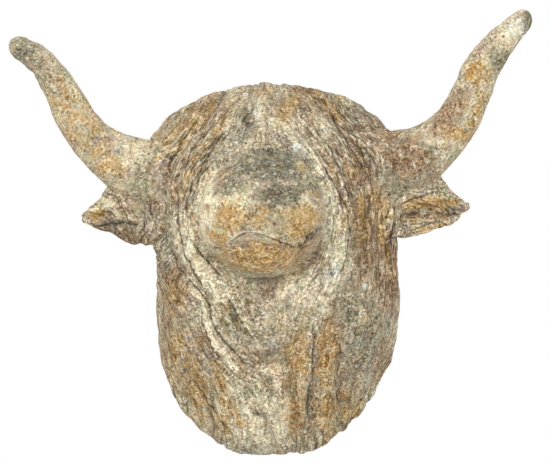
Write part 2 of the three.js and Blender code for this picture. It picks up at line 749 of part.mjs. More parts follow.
for (const { name, horn, ear } of sides) {
  const rod = rodEnds(horn);
  const pin = pinEnds(ear);
  const rodSpace = grownBar(rod, rodDiameter, fitGap);
  const pinSpace = grownBar(pin, pinDiameter, fitGap);
  const hornShape = hornSolid(horn, 0);
  const earShape = earSolid(ear, 0);
  const hornSocket = hornSolid(horn, hornBed);
  const earSocket = earSolid(ear, earBed);

  head = head.subtract(hornSocket).subtract(earSocket).subtract(rodSpace).subtract(pinSpace);

  const hornBedShape = hornSolid(horn, hornBed - fitGap)
    .intersect(jointSkin.add(hornCollar(horn, jointRecess)))
    .subtract(hornSolid(horn, fitGap))
    .subtract(rodSpace);
  const earBedShape = earSolid(ear, earBed - fitGap)
    .intersect(jointSkin.add(earCollar(ear, jointRecess)))
    .subtract(earSolid(ear, fitGap))
    .subtract(hornSocket)
    .subtract(pinSpace);
  const earCut = earShape
    .subtract(hornSolid(horn, earHornGap))
    .subtract(hornSocket.intersect(underJoint.add(hornCollar(horn, jointRecess - fitGap))))
    .subtract(pinSpace);

  cow.add(piece(`${name}_horn`, hornShape.subtract(rodSpace), hornStone));
  cow.add(piece(`${name}_horn_bed`, hornBedShape, mortar));
  cow.add(piece(`${name}_horn_rod`, roundBar(rod[0], rod[1], rodDiameter), iron));
  cow.add(piece(`${name}_ear`, earCut, stone));
  cow.add(piece(`${name}_ear_bed`, earBedShape, mortar));
  cow.add(piece(`${name}_ear_pin`, roundBar(pin[0], pin[1], pinDiameter), iron));
}

for (const [side, name] of [[-1, 'left'], [1, 'right']]) {
  head = head.subtract(chase(side, -overshoot, 0));
  cow.add(piece(`${name}_bar_plug`, chase(side, 0, fitGap).subtract(barSpace), mortar));
}

cow.add(piece('head', head.subtract(barSpace), stone));
cow.add(piece('hanging_bar', bar, iron));

export default cow;
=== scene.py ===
"""A weathered stone cow head for a wall: its carved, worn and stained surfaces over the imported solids.

Sizes are in millimetres and turned into metres where a mesh is made. X runs to the viewer's right, Y towards
the wall and Z up, and the origin is the middle of the iron bar that the head hangs by.
"""

import logging
import math
from dataclasses import dataclass
from enum import Enum
from functools import cached_property

import bmesh
import bpy
import numpy as np
from mathutils import Color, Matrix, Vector
from mathutils.bvhtree import BVHTree


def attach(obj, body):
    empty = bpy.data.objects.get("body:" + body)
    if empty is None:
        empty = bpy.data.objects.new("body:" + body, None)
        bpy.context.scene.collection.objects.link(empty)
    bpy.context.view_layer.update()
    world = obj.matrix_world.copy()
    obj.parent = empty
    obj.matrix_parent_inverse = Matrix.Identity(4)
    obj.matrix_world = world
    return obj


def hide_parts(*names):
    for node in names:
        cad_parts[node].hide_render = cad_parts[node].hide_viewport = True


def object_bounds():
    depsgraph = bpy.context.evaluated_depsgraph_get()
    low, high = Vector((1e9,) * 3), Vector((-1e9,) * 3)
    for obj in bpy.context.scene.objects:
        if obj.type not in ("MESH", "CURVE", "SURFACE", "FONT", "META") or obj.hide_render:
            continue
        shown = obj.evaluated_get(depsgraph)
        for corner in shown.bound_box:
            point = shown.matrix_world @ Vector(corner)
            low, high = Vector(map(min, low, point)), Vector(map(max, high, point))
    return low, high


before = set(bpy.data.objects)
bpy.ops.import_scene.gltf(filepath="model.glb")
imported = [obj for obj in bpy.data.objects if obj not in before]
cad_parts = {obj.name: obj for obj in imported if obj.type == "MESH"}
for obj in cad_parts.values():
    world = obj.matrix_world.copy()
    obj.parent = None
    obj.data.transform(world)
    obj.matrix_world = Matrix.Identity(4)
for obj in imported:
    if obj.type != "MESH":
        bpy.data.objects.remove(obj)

Array = np.ndarray

MM = 0.001
CAD_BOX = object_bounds()
# The wall and the head's middle, from the middle of the bar, and the room kept inside the CAD's box.
BAR_TO_WALL = 22.0
HEAD_X = -3.0
BOX_MARGIN = 0.1
# Shares of the way to its neighbours that a point goes in and out again while a skin is smoothed.
SMOOTH_IN = 0.5
SMOOTH_OUT = -0.52
# The least length and the limits between which the hair's coordinate may grow over a millimetre.
SHORTEST_EDGE = 0.2
FLOW_RATES = (0.15, 1.8)

log = logging.getLogger("cow_head")


# Small helpers on arrays of points


def smoothstep(value: Array, low: float, high: float) -> Array:
    """Eases from 0 at low to 1 at high.

    Args:
        value: The numbers to ease.
        low: Where the result leaves 0.
        high: Where the result reaches 1.

    Returns:
        Numbers between 0 and 1.
    """
    share = np.clip((value - low) / (high - low), 0.0, 1.0)
    return share * share * (3.0 - 2.0 * share)


def bell(offset: Array, spread: float) -> Array:
    """A smooth hump of height 1 over an offset of 0."""
    return np.exp(-((offset / spread) ** 2))


def clouds(points: Array, size: float, seed: int) -> Array:
    """Smooth noise with bumps of about one size.

    Args:
        points: Places, one row each.
        size: Distance between neighbouring bumps.
        seed: Chooses one pattern out of many; the same seed gives the same pattern.

    Returns:
        Heights between -1 and 1, one for each place.
    """
    place = points / size + seed * 17.31
    cell = np.floor(place).astype(np.int64)
    part = place - cell
    part = part * part * (3.0 - 2.0 * part)
    height = np.zeros(len(points))
    for corner in range(8):
        step = np.array([corner & 1, (corner >> 1) & 1, (corner >> 2) & 1])
        at = cell + step
        key = at[:, 0] * 73856093 ^ at[:, 1] * 19349663 ^ at[:, 2] * 83492791 ^ seed * 2654435
        key = ((key ^ (key >> 13)) * 1274126177) & 0xFFFFFFFF
        value = ((key ^ (key >> 16)) & 0xFFFF) / 32767.5 - 1.0
        weight = np.prod(np.where(step, part, 1.0 - part), axis=1)
        height += value * weight
    return height


def along_line(x: Array, z: Array, line: tuple) -> tuple[Array, Array, Array]:
    """Where places lie in the front view beside a line of straight stretches.

    Args:
        x: Places to the right.
        z: Heights.
        line: The corners of the line.

    Returns:
        For each place the distance from the line, the signed offset to its side, and the length along it.
    """
    nearest = np.full(len(x), np.inf)
    side, along = np.zeros(len(x)), np.zeros(len(x))
    walked = 0.0
    for (ax, az), (bx, bz) in zip(line, line[1:]):
        dx, dz = bx - ax, bz - az
        length = math.hypot(dx, dz)
        share = np.clip(((x - ax) * dx + (z - az) * dz) / length**2, 0.0, 1.0)
        away = np.hypot(x - ax - share * dx, z - az - share * dz)
        closer = away < nearest
        side = np.where(closer, ((z - az) * dx - (x - ax) * dz) / length, side)
        along = np.where(closer, walked + share * length, along)
        nearest = np.minimum(away, nearest)
        walked += length
    return nearest, side, along


def distance_to_line(x: Array, z: Array, line: tuple) -> Array:
    """Distance in the front view from each place to a line, as along_line gives it."""
    return along_line(x, z, line)[0]


# Meshes


def placed(name: str, data: bpy.types.ID) -> bpy.types.Object:
    """Makes an object and puts it into the scene.

    Args:
        name: Its name.
        data: Its mesh, camera or light.

    Returns:
        The object.
    """
    made = bpy.data.objects.new(name, data)
    bpy.context.scene.collection.objects.link(made)
    return made


class Clay:
    """A surface while it is being worked: points in millimetres and helpers on them."""

    def __init__(self, nodes: tuple[str, ...], name: str, voxel: float, swell: float = 0.0) -> None:
        """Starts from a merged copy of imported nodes, made into an even skin of small faces.

        Args:
            nodes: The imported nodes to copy.
            name: Name of the new piece.
            voxel: Size of the new faces in millimetres.
            swell: How far the copies grow first, in millimetres, so that they run together.
        """
        shape = bmesh.new()
        for node in nodes:
            shape.from_mesh(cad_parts[node].data)
        bmesh.ops.remove_doubles(shape, verts=shape.verts, dist=1e-6)
        if swell:
            shape.normal_update()
            for vert in shape.verts:
                vert.co += vert.normal * swell * MM
        mesh = bpy.data.meshes.new(name)
        shape.to_mesh(mesh)
        shape.free()
        self.piece = placed(name, mesh)
        remesh = self.piece.modifiers.new("even_skin", "REMESH")
        remesh.mode = "VOXEL"
        remesh.voxel_size = voxel * MM
        self.bake()
        self.piece.data.materials.clear()

    def bake(self) -> None:
        """Applies the piece's modifier and reads its points and edges anew."""
        graph = bpy.context.evaluated_depsgraph_get()
        seen = self.piece.evaluated_get(graph)
        skin = bpy.data.meshes.new_from_object(seen, preserve_all_data_layers=True, depsgraph=graph)
        before = self.piece.data
        self.piece.modifiers.clear()
        self.piece.data = skin
        bpy.data.meshes.remove(before)
        skin.name = self.piece.name
        count = len(skin.vertices)
        flat = np.empty(count * 3, np.float32)
        skin.vertices.foreach_get("co", flat)
        self.points = flat.reshape(-1, 3).astype(float) / MM
        ends = np.empty(len(skin.edges) * 2, np.int32)
        skin.edges.foreach_get("vertices", ends)
        self.edges = ends.reshape(-1, 2)
        self.valence = np.bincount(self.edges.ravel(), minlength=count).astype(float)

    def neighbour_mean(self, values: Array) -> Array:
        """The mean of each point's neighbours.

        Args:
            values: One row for each point.

        Returns:
            One row for each point.
        """
        a, b = self.edges[:, 0], self.edges[:, 1]
        columns = values if values.ndim > 1 else values[:, None]
        total = np.empty_like(columns)
        for i in range(columns.shape[1]):
            total[:, i] = np.bincount(a, columns[b, i], len(columns))
            total[:, i] += np.bincount(b, columns[a, i], len(columns))
        mean = total / np.maximum(self.valence, 1.0)[:, None]
        return mean if values.ndim > 1 else mean[:, 0]

    def smooth(self, rounds: int, keep: Array | None = None) -> None:
        """Takes the small steps out of the skin without shrinking its form.

        Args:
            rounds: How many times to smooth.
            keep: How much of each point's place to leave as it is, from 0 to 1.
        """
        free = 1.0 if keep is None else (1.0 - keep)[:, None]
        for _ in range(rounds):
            for share in (SMOOTH_IN, SMOOTH_OUT):
                self.points += share * free * (self.neighbour_mean(self.points) - self.points)

    def normals(self) -> Array:
        """Finds where the surface faces.

        Returns:
            The outward direction at each point, one row for each.
        """
        self.store()
        flat = np.empty(len(self.points) * 3, np.float32)
        self.piece.data.vertex_normals.foreach_get("vector", flat)
        return flat.reshape(-1, 3).astype(float)

    def push(self, height: Array) -> None:
        """Moves each point outwards along its normal by its height in millimetres."""
        self.points += self.normals() * height[:, None]

    def store(self) -> None:
        """Writes the points back to the mesh in metres."""
        self.piece.data.vertices.foreach_set("co", (self.points * MM).astype(np.float32).ravel())
        self.piece.data.update()

    def paint(self, name: str, values: Array) -> None:
        """Stores a number, or a vector, for each point as an attribute that a material reads.

        Args:
            name: Name of the attribute.
            values: One number or one row of three for each point.
        """
        kind, entry = ("FLOAT_VECTOR", "vector") if values.ndim > 1 else ("FLOAT", "value")
        made = self.piece.data.attributes.new(name, kind, "POINT")
        made.data.foreach_set(entry, values.astype(np.float32).ravel())

    def thin(self, share: float, hidden: Array) -> None:
        """Joins small faces on a hidden side, where that costs the least form.

        Args:
            share: How much of the piece's triangles stays.
            hidden: True for each point of the hidden side.
        """
        self.store()
        group = self.piece.vertex_groups.new(name="hidden_side")
        group.add(np.flatnonzero(hidden).tolist(), 1.0, "REPLACE")
        fewer = self.piece.modifiers.new("fewer_faces", "DECIMATE")
        fewer.ratio = share
        fewer.vertex_group = group.name
        self.bake()
        self.piece.vertex_groups.clear()

    def triangles(self) -> Array:
        """Divides the skin into triangles.

        Returns:
            One row of three point numbers for each triangle.
        """
        mesh = self.piece.data
        mesh.calc_loop_triangles()
        flat = np.empty(len(mesh.loop_triangles) * 3, np.int32)
        mesh.loop_triangles.foreach_get("vertices", flat)
        return flat.reshape(-1, 3)

    def discard(self) -> None:
        """Removes the piece, once its surface has served others."""
        mesh = self.piece.data
        bpy.data.objects.remove(self.piece)
        bpy.data.meshes.remove(mesh)

    def finish(self, node: str, material: bpy.types.Material) -> None:
        """Ends the work on the piece: it takes its node's place and its material.

        Args:
            node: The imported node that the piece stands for.
            material: The material of the whole piece.
        """
        self.points[:, 1] = np.minimum(self.points[:, 1], BAR_TO_WALL)
        self.store()
        mesh = self.piece.data
        mesh.materials.append(material)
        mesh.shade_smooth()
        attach(self.piece, "root")
        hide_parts(node)
        log.info("%s: %d triangles", self.piece.name, len(self.triangles()))


# Materials


Socket = bpy.types.NodeSocket
Feed = Socket | float | tuple
Shade = tuple[int, int, int]


def paint_colour(shade: Shade) -> tuple[float, ...]:
    """A colour as a screen shows it, from 0 to 255, as the linear one with alpha that a shader takes."""
    return (*Color([value / 255.0 for value in shade]).from_srgb_to_scene_linear(), 1.0)


class Recipe:
    """Builds the nodes of one material, or of the world, step by step."""

    def __init__(self, owner: bpy.types.Material | bpy.types.World) -> None:
        """Starts with no nodes.

        Args:
            owner: The material, or the world, that the nodes are for.
        """
        owner.use_nodes = True
        self.owner = owner
        self.tree = owner.node_tree
        self.tree.nodes.clear()

    @cached_property
    def place(self) -> Socket:
        """The piece's own coordinates, in metres."""
        return self.add("ShaderNodeTexCoord").outputs["Object"]

    def add(self, kind: str, *feeds: Feed, **options: str) -> bpy.types.Node:
        """Adds a node.

        Args:
            kind: Its kind.
            feeds: What its first inputs take, in order.
            options: Its own options by name.

        Returns:
            The node.
        """
        node = self.tree.nodes.new(kind)
        for option, choice in options.items():
            setattr(node, option, choice)
        for feed, socket in zip(feeds, node.inputs):
            self.link(feed, socket)
        return node

    def link(self, feed: Feed, socket: Socket) -> None:
        """Feeds an input.

        Args:
            feed: Another node's output, a number or a colour.
            socket: The input.
        """
        if isinstance(feed, Socket):
            self.tree.links.new(feed, socket)
        else:
            socket.default_value = feed

    def attribute(self, name: str, output: str = "Fac") -> Socket:
        """Reads one of the piece's own attributes, as a number (Fac) or as a Vector."""
        return self.add("ShaderNodeAttribute", attribute_name=name).outputs[output]

    def math(self, operation: str, *feeds: Feed) -> Socket:
        """Joins up to three numbers by a Math node's operation."""
        return self.add("ShaderNodeMath", *feeds, operation=operation).outputs[0]

    def times(self, a: Feed, b: Feed) -> Socket:
        """One number times another."""
        return self.math("MULTIPLY", a, b)

    def plus(self, a: Feed, b: Feed) -> Socket:
        """One number plus another."""
        return self.math("ADD", a, b)

    def scaled(self, value: Feed, factor: Feed, start: Feed) -> Socket:
        """A number times a factor, counted from a start."""
        return self.math("MULTIPLY_ADD", value, factor, start)

    def vector(self, operation: str, *feeds: Feed) -> Socket:
        """Joins up to three vectors by a Vector Math node's operation."""
        return self.add("ShaderNodeVectorMath", *feeds, operation=operation).outputs[0]

    def split(self, vector: Socket) -> tuple[Socket, ...]:
        """The three numbers of a vector."""
        return tuple(self.add("ShaderNodeSeparateXYZ", vector).outputs)

    def eased(self, value: Feed, low: float, high: float, start: float = 0.0, end: float = 1.0) -> Socket:
        """Eases a number from start to end while it runs from low to high."""
        feeds = (value, low, high, start, end)
        return self.add("ShaderNodeMapRange", *feeds, interpolation_type="SMOOTHSTEP").outputs[0]

    def shifted(self, vector: Socket, step: float) -> Socket:
        """Moves a vector, so that a second noise doesn't follow the first."""
        return self.vector("ADD", vector, (step, -1.7 * step, 0.6 * step))

    def noise(self, vector: Socket, size: float, detail: float = 2.0, rough: float = 0.5) -> bpy.types.Node:
        """Noise around 0.5 with clouds of a size in the vector's unit, and finer layers of detail."""
        return self.add("ShaderNodeTexNoise", vector, 0.0, 1.0 / size, detail, rough)

    def cloud(self, size: float, detail: float, rough: float, step: float = 0.0) -> Socket:
        """Noise over the piece with clouds of a size in millimetres; another step gives another pattern."""
        return self.noise(self.shifted(self.place, step), size * MM, detail, rough).outputs[0]

    def warped(self, size: float, most: float) -> Socket:
        """The piece's places, shifted by up to half of most by clouds of a size, both in millimetres."""
        clouds = self.noise(self.place, size * MM, 1.0).outputs["Color"]
        return self.vector("MULTIPLY_ADD", clouds, (2.0 * most * MM,) * 3, self.place)

    def cells(self, vector: Socket, size: float) -> tuple[Socket, Socket, Socket]:
        """Scattered cells.

        Args:
            vector: Where to read them.
            size: Millimetres between neighbouring cells.

        Returns:
            The distance to the nearest cell's middle as a share of size, and two random numbers of that cell.
        """
        node = self.add("ShaderNodeTexVoronoi", vector, 0.0, 1.0 / (size * MM))
        lot = self.add("ShaderNodeSeparateColor", node.outputs["Color"])
        return node.outputs["Distance"], lot.outputs[0], lot.outputs[1]

    def combed(self, flow: Socket, spacing: float, width: float, length: float,
               seed: float) -> tuple[Socket, Socket]:
        """Broken lines side by side along a flow, as a toothed chisel leaves them.

        Args:
            flow: Places across and along the flow in millimetres, and how fast the first one grows there.
            spacing: Distance between neighbouring lines.
            width: Width of a line as a share of the spacing.
            length: Length over which a line comes and goes.
            seed: Chooses one pattern out of many.

        Returns:
            Strength of the lines from 0 to 1, and a random tone of each lane from 0 to 1.
        """
        across, along, growth = self.split(flow)
        sway = self.noise(self.shifted(self.vector("MULTIPLY", flow, (1.0, 0.4, 0.0)), seed), 3.5 * spacing)
        across = self.scaled(across, 1.0 / spacing, self.times(sway.outputs[0], 5.0))
        off = self.math("ABSOLUTE", self.math("SUBTRACT", self.math("FRACT", across), 0.5))
        lane = self.scaled(self.math("FLOOR", across), 3.17, seed)
        place = self.add("ShaderNodeCombineXYZ", lane, self.math("DIVIDE", along, length)).outputs[0]
        whole = self.eased(self.noise(place, 1.0, 2.0, 0.6).outputs[0], 0.43, 0.59)
        tone = self.eased(self.noise(self.shifted(place, 7.3), 1.0, 1.0).outputs[0], 0.3, 0.7)
        half = self.times(growth, 0.5 * width)
        over = self.math("DIVIDE", self.scaled(half, self.times(whole, -1.0), off), half)
        return self.times(self.eased(over, 0.0, 1.0, 1.0, 0.0), whole), tone

    def lifted(self, colour: Socket, change: Socket, curve: float = 2.2) -> Socket:
        """Adds to a colour as a screen shows it, so that light and dark flecks keep their hue.

        Args:
            colour: The colour.
            change: What is added to red, green and blue, each about -0.3 to 0.3.
            curve: The screen's curve.

        Returns:
            The changed colour.
        """
        shown = self.add("ShaderNodeGamma", colour, 1.0 / curve).outputs[0]
        shown = self.vector("MAXIMUM", self.vector("ADD", shown, change), (0.08, 0.07, 0.05))
        return self.add("ShaderNodeGamma", shown, curve).outputs[0]

    def mix(self, share: Feed, a: Feed, b: Feed) -> Socket:
        """Mixes two colours.

        Args:
            share: How much of the second one.
            a: First colour.
            b: Second colour.

        Returns:
            The mixed colour.
        """
        node = self.add("ShaderNodeMix", share, data_type="RGBA")
        self.link(a, node.inputs[6])
        self.link(b, node.inputs[7])
        return node.outputs[2]

    def close(self, colour: Feed, roughness: Feed, height: Socket, depth: float,
              metallic: float = 0.0) -> bpy.types.Material:
        """Ends the material with a shader.

        Args:
            colour: Its colour.
            roughness: Its roughness.
            height: Relief of about 0 to 1 that bends the light on the surface.
            depth: Depth of that relief in millimetres.
            metallic: 1 for bare metal.

        Returns:
            The finished material.
        """
        shader = self.add("ShaderNodeBsdfPrincipled")
        bump = self.add("ShaderNodeBump")
        for node, name, feed in (
            (shader, "Base Color", colour), (shader, "Roughness", roughness), (shader, "Metallic", metallic),
            (shader, "Specular IOR Level", 0.3), (shader, "Normal", bump.outputs[0]),
            (bump, "Strength", 1.0), (bump, "Distance", depth * MM), (bump, "Height", height),
        ):
            self.link(feed, node.inputs[name])
        self.add("ShaderNodeOutputMaterial", shader.outputs[0])
        return self.owner


@dataclass(frozen=True)
class WeatheredStone:
    """Old carved stone outdoors: combed lines, crumbs, stains and growth, and painted shade with dirt in
    lines, pits, seams and recesses.

    Spacings, lengths and the sizes of crumbs and pits are in millimetres; widths are shares of a spacing.
    """

    name: str
    body: Shade = (210, 198, 168)
    rosy: Shade = (188, 170, 150)
    green: Shade = (184, 181, 150)
    pale: Shade = (244, 233, 202)
    brown: Shade = (147, 117, 89)
    ochre: Shade = (192, 157, 97)
    amber: Shade = (180, 133, 70)
    moss: Shade = (114, 111, 92)
    grey: Shade = (158, 150, 130)
    frost: Shade = (214, 218, 210)
    # The dark colour of the painted shade, with some dirt, in lines, pits, recesses and seams.
    shade_and_dirt_colour: Shade = (58, 47, 36)
    line_spacing: float = 6.4
    line_width: float = 0.22
    line_length: float = 27.0
    furrow_spacing: float = 16.0
    furrow_width: float = 0.09
    furrow_length: float = 60.0
    crumb: float = 3.0
    pit: float = 8.5
    fleck: float = 0.36
    darkest_fleck: float = 0.35
    lightest_fleck: float = 1.6
    # How far lines, pits, recesses and seams are darkened: painted shade with some dirt.
    line_shade_and_dirt: float = 0.8
    pit_shade_and_dirt: float = 0.75
    shade_and_dirt_share: float = 0.7
    seam_shade_and_dirt: float = 0.78
    relief: float = 1.6

    def stains(self, r: Recipe, colour: Socket, patchy: Socket) -> Socket:
        """Lays the painted stains, among them painted highlights and shade, over a colour, with ragged edges.

        Args:
            r: The material in the making.
            colour: The colour so far.
            patchy: Noise that frays the edges.

        Returns:
            The stained colour.
        """
        fray = r.scaled(patchy, 2.6, -1.3)
        layers = (
            ("grey", self.grey, 0.0, 0.85), ("pale", self.pale, 0.0, 0.9), ("brown", self.brown, 0.0, 0.9),
            ("ochre", self.ochre, 0.0, 0.92), ("ochre", self.amber, 0.5, 0.7), ("moss", self.moss, 0.0, 0.9),
            ("frost", self.frost, 0.5, 0.8),
        )
        for mask, shade, least, most in layers:
            there = r.plus(r.attribute(mask), fray)
            colour = r.mix(r.eased(there, least, least + 0.85, 0.0, most), colour, paint_colour(shade))
        return colour

    def seams(self, r: Recipe) -> Socket:
        """Draws the thin cut lines, a little shaky and uneven in width.

        Args:
            r: The material in the making.

        Returns:
            How strongly each place is in a line, from 0 to 1.
        """
        off, strong, _ = r.split(r.attribute("seam", "Vector"))
        shake = r.scaled(r.cloud(6.0, 2.0, 0.6, 0.71), 5.0, -2.5)
        width = r.times(r.eased(r.cloud(9.0, 2.0, 0.6, 0.83), 0.4, 0.62, 0.15, 1.05), strong)
        away = r.math("ABSOLUTE", r.plus(off, shake))
        there = r.eased(r.scaled(strong, 0.3, r.cloud(13.0, 2.0, 0.6, 0.97)), 0.55, 0.66)
        there = r.times(there, r.eased(strong, 0.0, 0.4))
        return r.times(r.eased(r.math("SUBTRACT", away, width), -0.3, 0.9, 1.0, 0.0), there)

    def make(self) -> bpy.types.Material:
        """Builds the material.

        Returns:
            The material, which reads flow, worked, the painted shade with dirt, seam and the stains from its
            piece's attributes.
        """
        r = Recipe(bpy.data.materials.new(self.name))
        flow = r.attribute("flow", "Vector")
        worked = r.attribute("worked")
        shades = (self.body, self.rosy, self.green, self.pale, self.ochre, self.shade_and_dirt_colour)
        body, rosy, green, pale, ochre, shade_and_dirt_colour = map(paint_colour, shades)
        broad = r.cloud(46.0, 4.0, 0.62)
        other = r.cloud(30.0, 4.0, 0.62, 0.37)
        patchy = r.cloud(13.0, 3.0, 0.5, 0.11)
        grain = r.cloud(4.2, 3.0, 0.75)
        speck = r.cloud(2.6, 2.0, 0.7, 0.23)
        _, lot, tint = r.cells(r.warped(6.0, 3.5), self.crumb)
        line, tone = r.combed(flow, self.line_spacing, self.line_width, self.line_length, 1.3)
        furrow, broad_tone = r.combed(flow, self.furrow_spacing, self.furrow_width, self.furrow_length, 9.1)
        streak = r.noise(r.vector("MULTIPLY", flow, (1.0, 0.16, 0.0)), 2.8, 2.0, 0.6).outputs[0]

        colour = r.mix(r.eased(broad, 0.43, 0.56), body, rosy)
        colour = r.mix(r.eased(other, 0.51, 0.4, 0.0, 0.8), colour, green)
        colour = r.mix(r.eased(other, 0.54, 0.64, 0.0, 0.5), colour, ochre)
        colour = self.stains(r, colour, patchy)
        colour = r.mix(r.eased(r.cloud(9.0, 3.0, 0.6, 0.53), 0.55, 0.68, 0.0, 0.4), colour, pale)
        colour = r.mix(r.eased(tint, 0.6, 0.9, 0.0, 0.15), colour, rosy)
        colour = r.mix(r.times(r.eased(broad_tone, 0.55, 0.9, 0.0, 0.2), worked), colour, ochre)
        colour = r.mix(r.times(r.eased(tone, 0.6, 0.9, 0.0, 0.25), worked), colour, pale)

        strong = r.eased(r.cloud(13.0, 3.0, 0.6, 0.91), 0.36, 0.62, 0.6, 1.4)
        strong = r.times(strong, r.eased(worked, 0.1, 0.5, 0.68, 0.95))
        light = r.times(r.plus(r.scaled(tone, 0.3, -0.15), r.scaled(streak, 2.2, -1.1)), worked)
        light = r.plus(light, r.scaled(patchy, 1.2, -0.65))
        crumbs = r.plus(r.scaled(lot, 0.4, -0.2), r.scaled(speck, 3.6, -1.8))
        crumbs = r.plus(crumbs, r.scaled(grain, 1.8, -0.9))
        light = r.scaled(crumbs, strong, r.plus(light, 1.0))
        light = r.math("MINIMUM", r.math("MAXIMUM", light, self.darkest_fleck), self.lightest_fleck)
        light = r.scaled(light, self.fleck, -self.fleck)
        warm = r.scaled(r.cloud(9.0, 3.0, 0.6, 0.61), 0.12, -0.06)
        leafy = r.scaled(r.cloud(8.0, 3.0, 0.6, 0.67), 0.08, -0.04)
        channels = (r.plus(light, warm), r.plus(light, leafy), r.math("SUBTRACT", light, warm))
        colour = r.lifted(colour, r.add("ShaderNodeCombineXYZ", *channels).outputs[0])

        line = r.times(r.math("MAXIMUM", r.times(line, 0.75), furrow), worked)
        far, chosen, _ = r.cells(r.place, self.pit)
        hole = r.times(r.eased(far, 0.1, 0.3, 1.0, 0.0), r.eased(chosen, 0.66, 0.72))
        pits = r.times(hole, r.eased(broad, 0.4, 0.56, 1.0, 0.35))
        seam = self.seams(r)
        # Painted shade, with some dirt: the combed lines, pits, recesses and cut seams are darkened towards
        # one dark colour.
        for mask, share in ((line, self.line_shade_and_dirt), (pits, self.pit_shade_and_dirt),
                            (r.attribute("shade_and_dirt"), self.shade_and_dirt_share), (seam, self.seam_shade_and_dirt)):
            colour = r.mix(r.times(mask, share), colour, shade_and_dirt_colour)

        height = r.times(r.math("MAXIMUM", line, seam), -0.7)
        for mask, share in ((r.times(tone, worked), 0.4), (r.times(lot, strong), 0.3), (grain, 0.9),
                            (speck, 0.4), (pits, -0.6)):
            height = r.scaled(mask, share, height)
        return r.close(colour, r.eased(patchy, 0.3, 0.7, 0.98, 0.88), height, self.relief)


@dataclass(frozen=True)
class LimeMortar:
    """Crumbling lime mortar with sand in it."""

    name: str
    body: Shade = (176, 165, 140)
    sand: Shade = (132, 116, 90)
    # Dark colour of dirt, and of the painted shade in the holes.
    shade_and_dirt_colour: Shade = (70, 58, 44)
    hole: float = 4.8
    relief: float = 1.4

    def make(self) -> bpy.types.Material:
        """Builds the material.

        Returns:
            The material.
        """
        r = Recipe(bpy.data.materials.new(self.name))
        body, sand, shade_and_dirt_colour = map(paint_colour, (self.body, self.sand, self.shade_and_dirt_colour))
        patchy = r.cloud(12.0, 4.0, 0.65)
        grain = r.cloud(1.6, 2.0, 0.7)
        far, lot, _ = r.cells(r.place, self.hole)
        hole = r.times(r.eased(far, 0.12, 0.32, 1.0, 0.0), r.eased(lot, 0.5, 0.6))
        colour = r.mix(r.eased(grain, 0.42, 0.62), body, sand)
        colour = r.mix(r.eased(patchy, 0.45, 0.7, 0.0, 0.7), colour, shade_and_dirt_colour)
        # Painted shade, with some dirt, in the holes.
        colour = r.mix(r.times(hole, 0.8), colour, shade_and_dirt_colour)
        return r.close(colour, 0.97, r.scaled(grain, 0.6, r.times(hole, -0.8)), self.relief)


@dataclass(frozen=True)
class RustyIron:
    """Forged iron that has rusted under its scale."""

    name: str
    scale: Shade = (72, 60, 54)
    rust: Shade = (126, 70, 38)
    bright_rust: Shade = (168, 98, 48)
    relief: float = 0.5
    metallic: float = 0.35

    def make(self) -> bpy.types.Material:
        """Builds the material.

        Returns:
            The material.
        """
        r = Recipe(bpy.data.materials.new(self.name))
        scale, rust, bright_rust = map(paint_colour, (self.scale, self.rust, self.bright_rust))
        patchy = r.cloud(11.0, 5.0, 0.66)
        grain = r.cloud(1.1, 3.0, 0.7)
        colour = r.mix(r.eased(patchy, 0.4, 0.6), scale, rust)
        colour = r.mix(r.eased(grain, 0.52, 0.72, 0.0, 0.7), colour, bright_rust)
        height = r.scaled(patchy, 0.6, r.times(grain, 0.5))
        return r.close(colour, r.eased(patchy, 0.35, 0.6, 0.55, 0.92), height, self.relief, self.metallic)


# The surface that all stone pieces share


@dataclass(frozen=True)
class Patch:
    """A soft oval patch in the front view, in millimetres."""

    x: float
    z: float
    wide: float
    high: float
    strength: float = 1.0
    lean: float = 0.0

    def over(self, points: Array) -> Array:
        """How strong the patch is at each point.

        Args:
            points: Places in millimetres.

        Returns:
            Strengths from 0 to the patch's own.
        """
        turn = math.radians(self.lean)
        dx, dz = points[:, 0] - self.x, points[:, 2] - self.z
        a = dx * math.cos(turn) + dz * math.sin(turn)
        b = dz * math.cos(turn) - dx * math.sin(turn)
        return self.strength * np.exp(-(((a / self.wide) ** 2 + (b / self.high) ** 2) ** 1.5))


def patches(*rows: tuple) -> tuple[Patch, ...]:
    """Patches from rows of middle, half width, half height, strength and lean."""
    return tuple(Patch(*row) for row in rows)


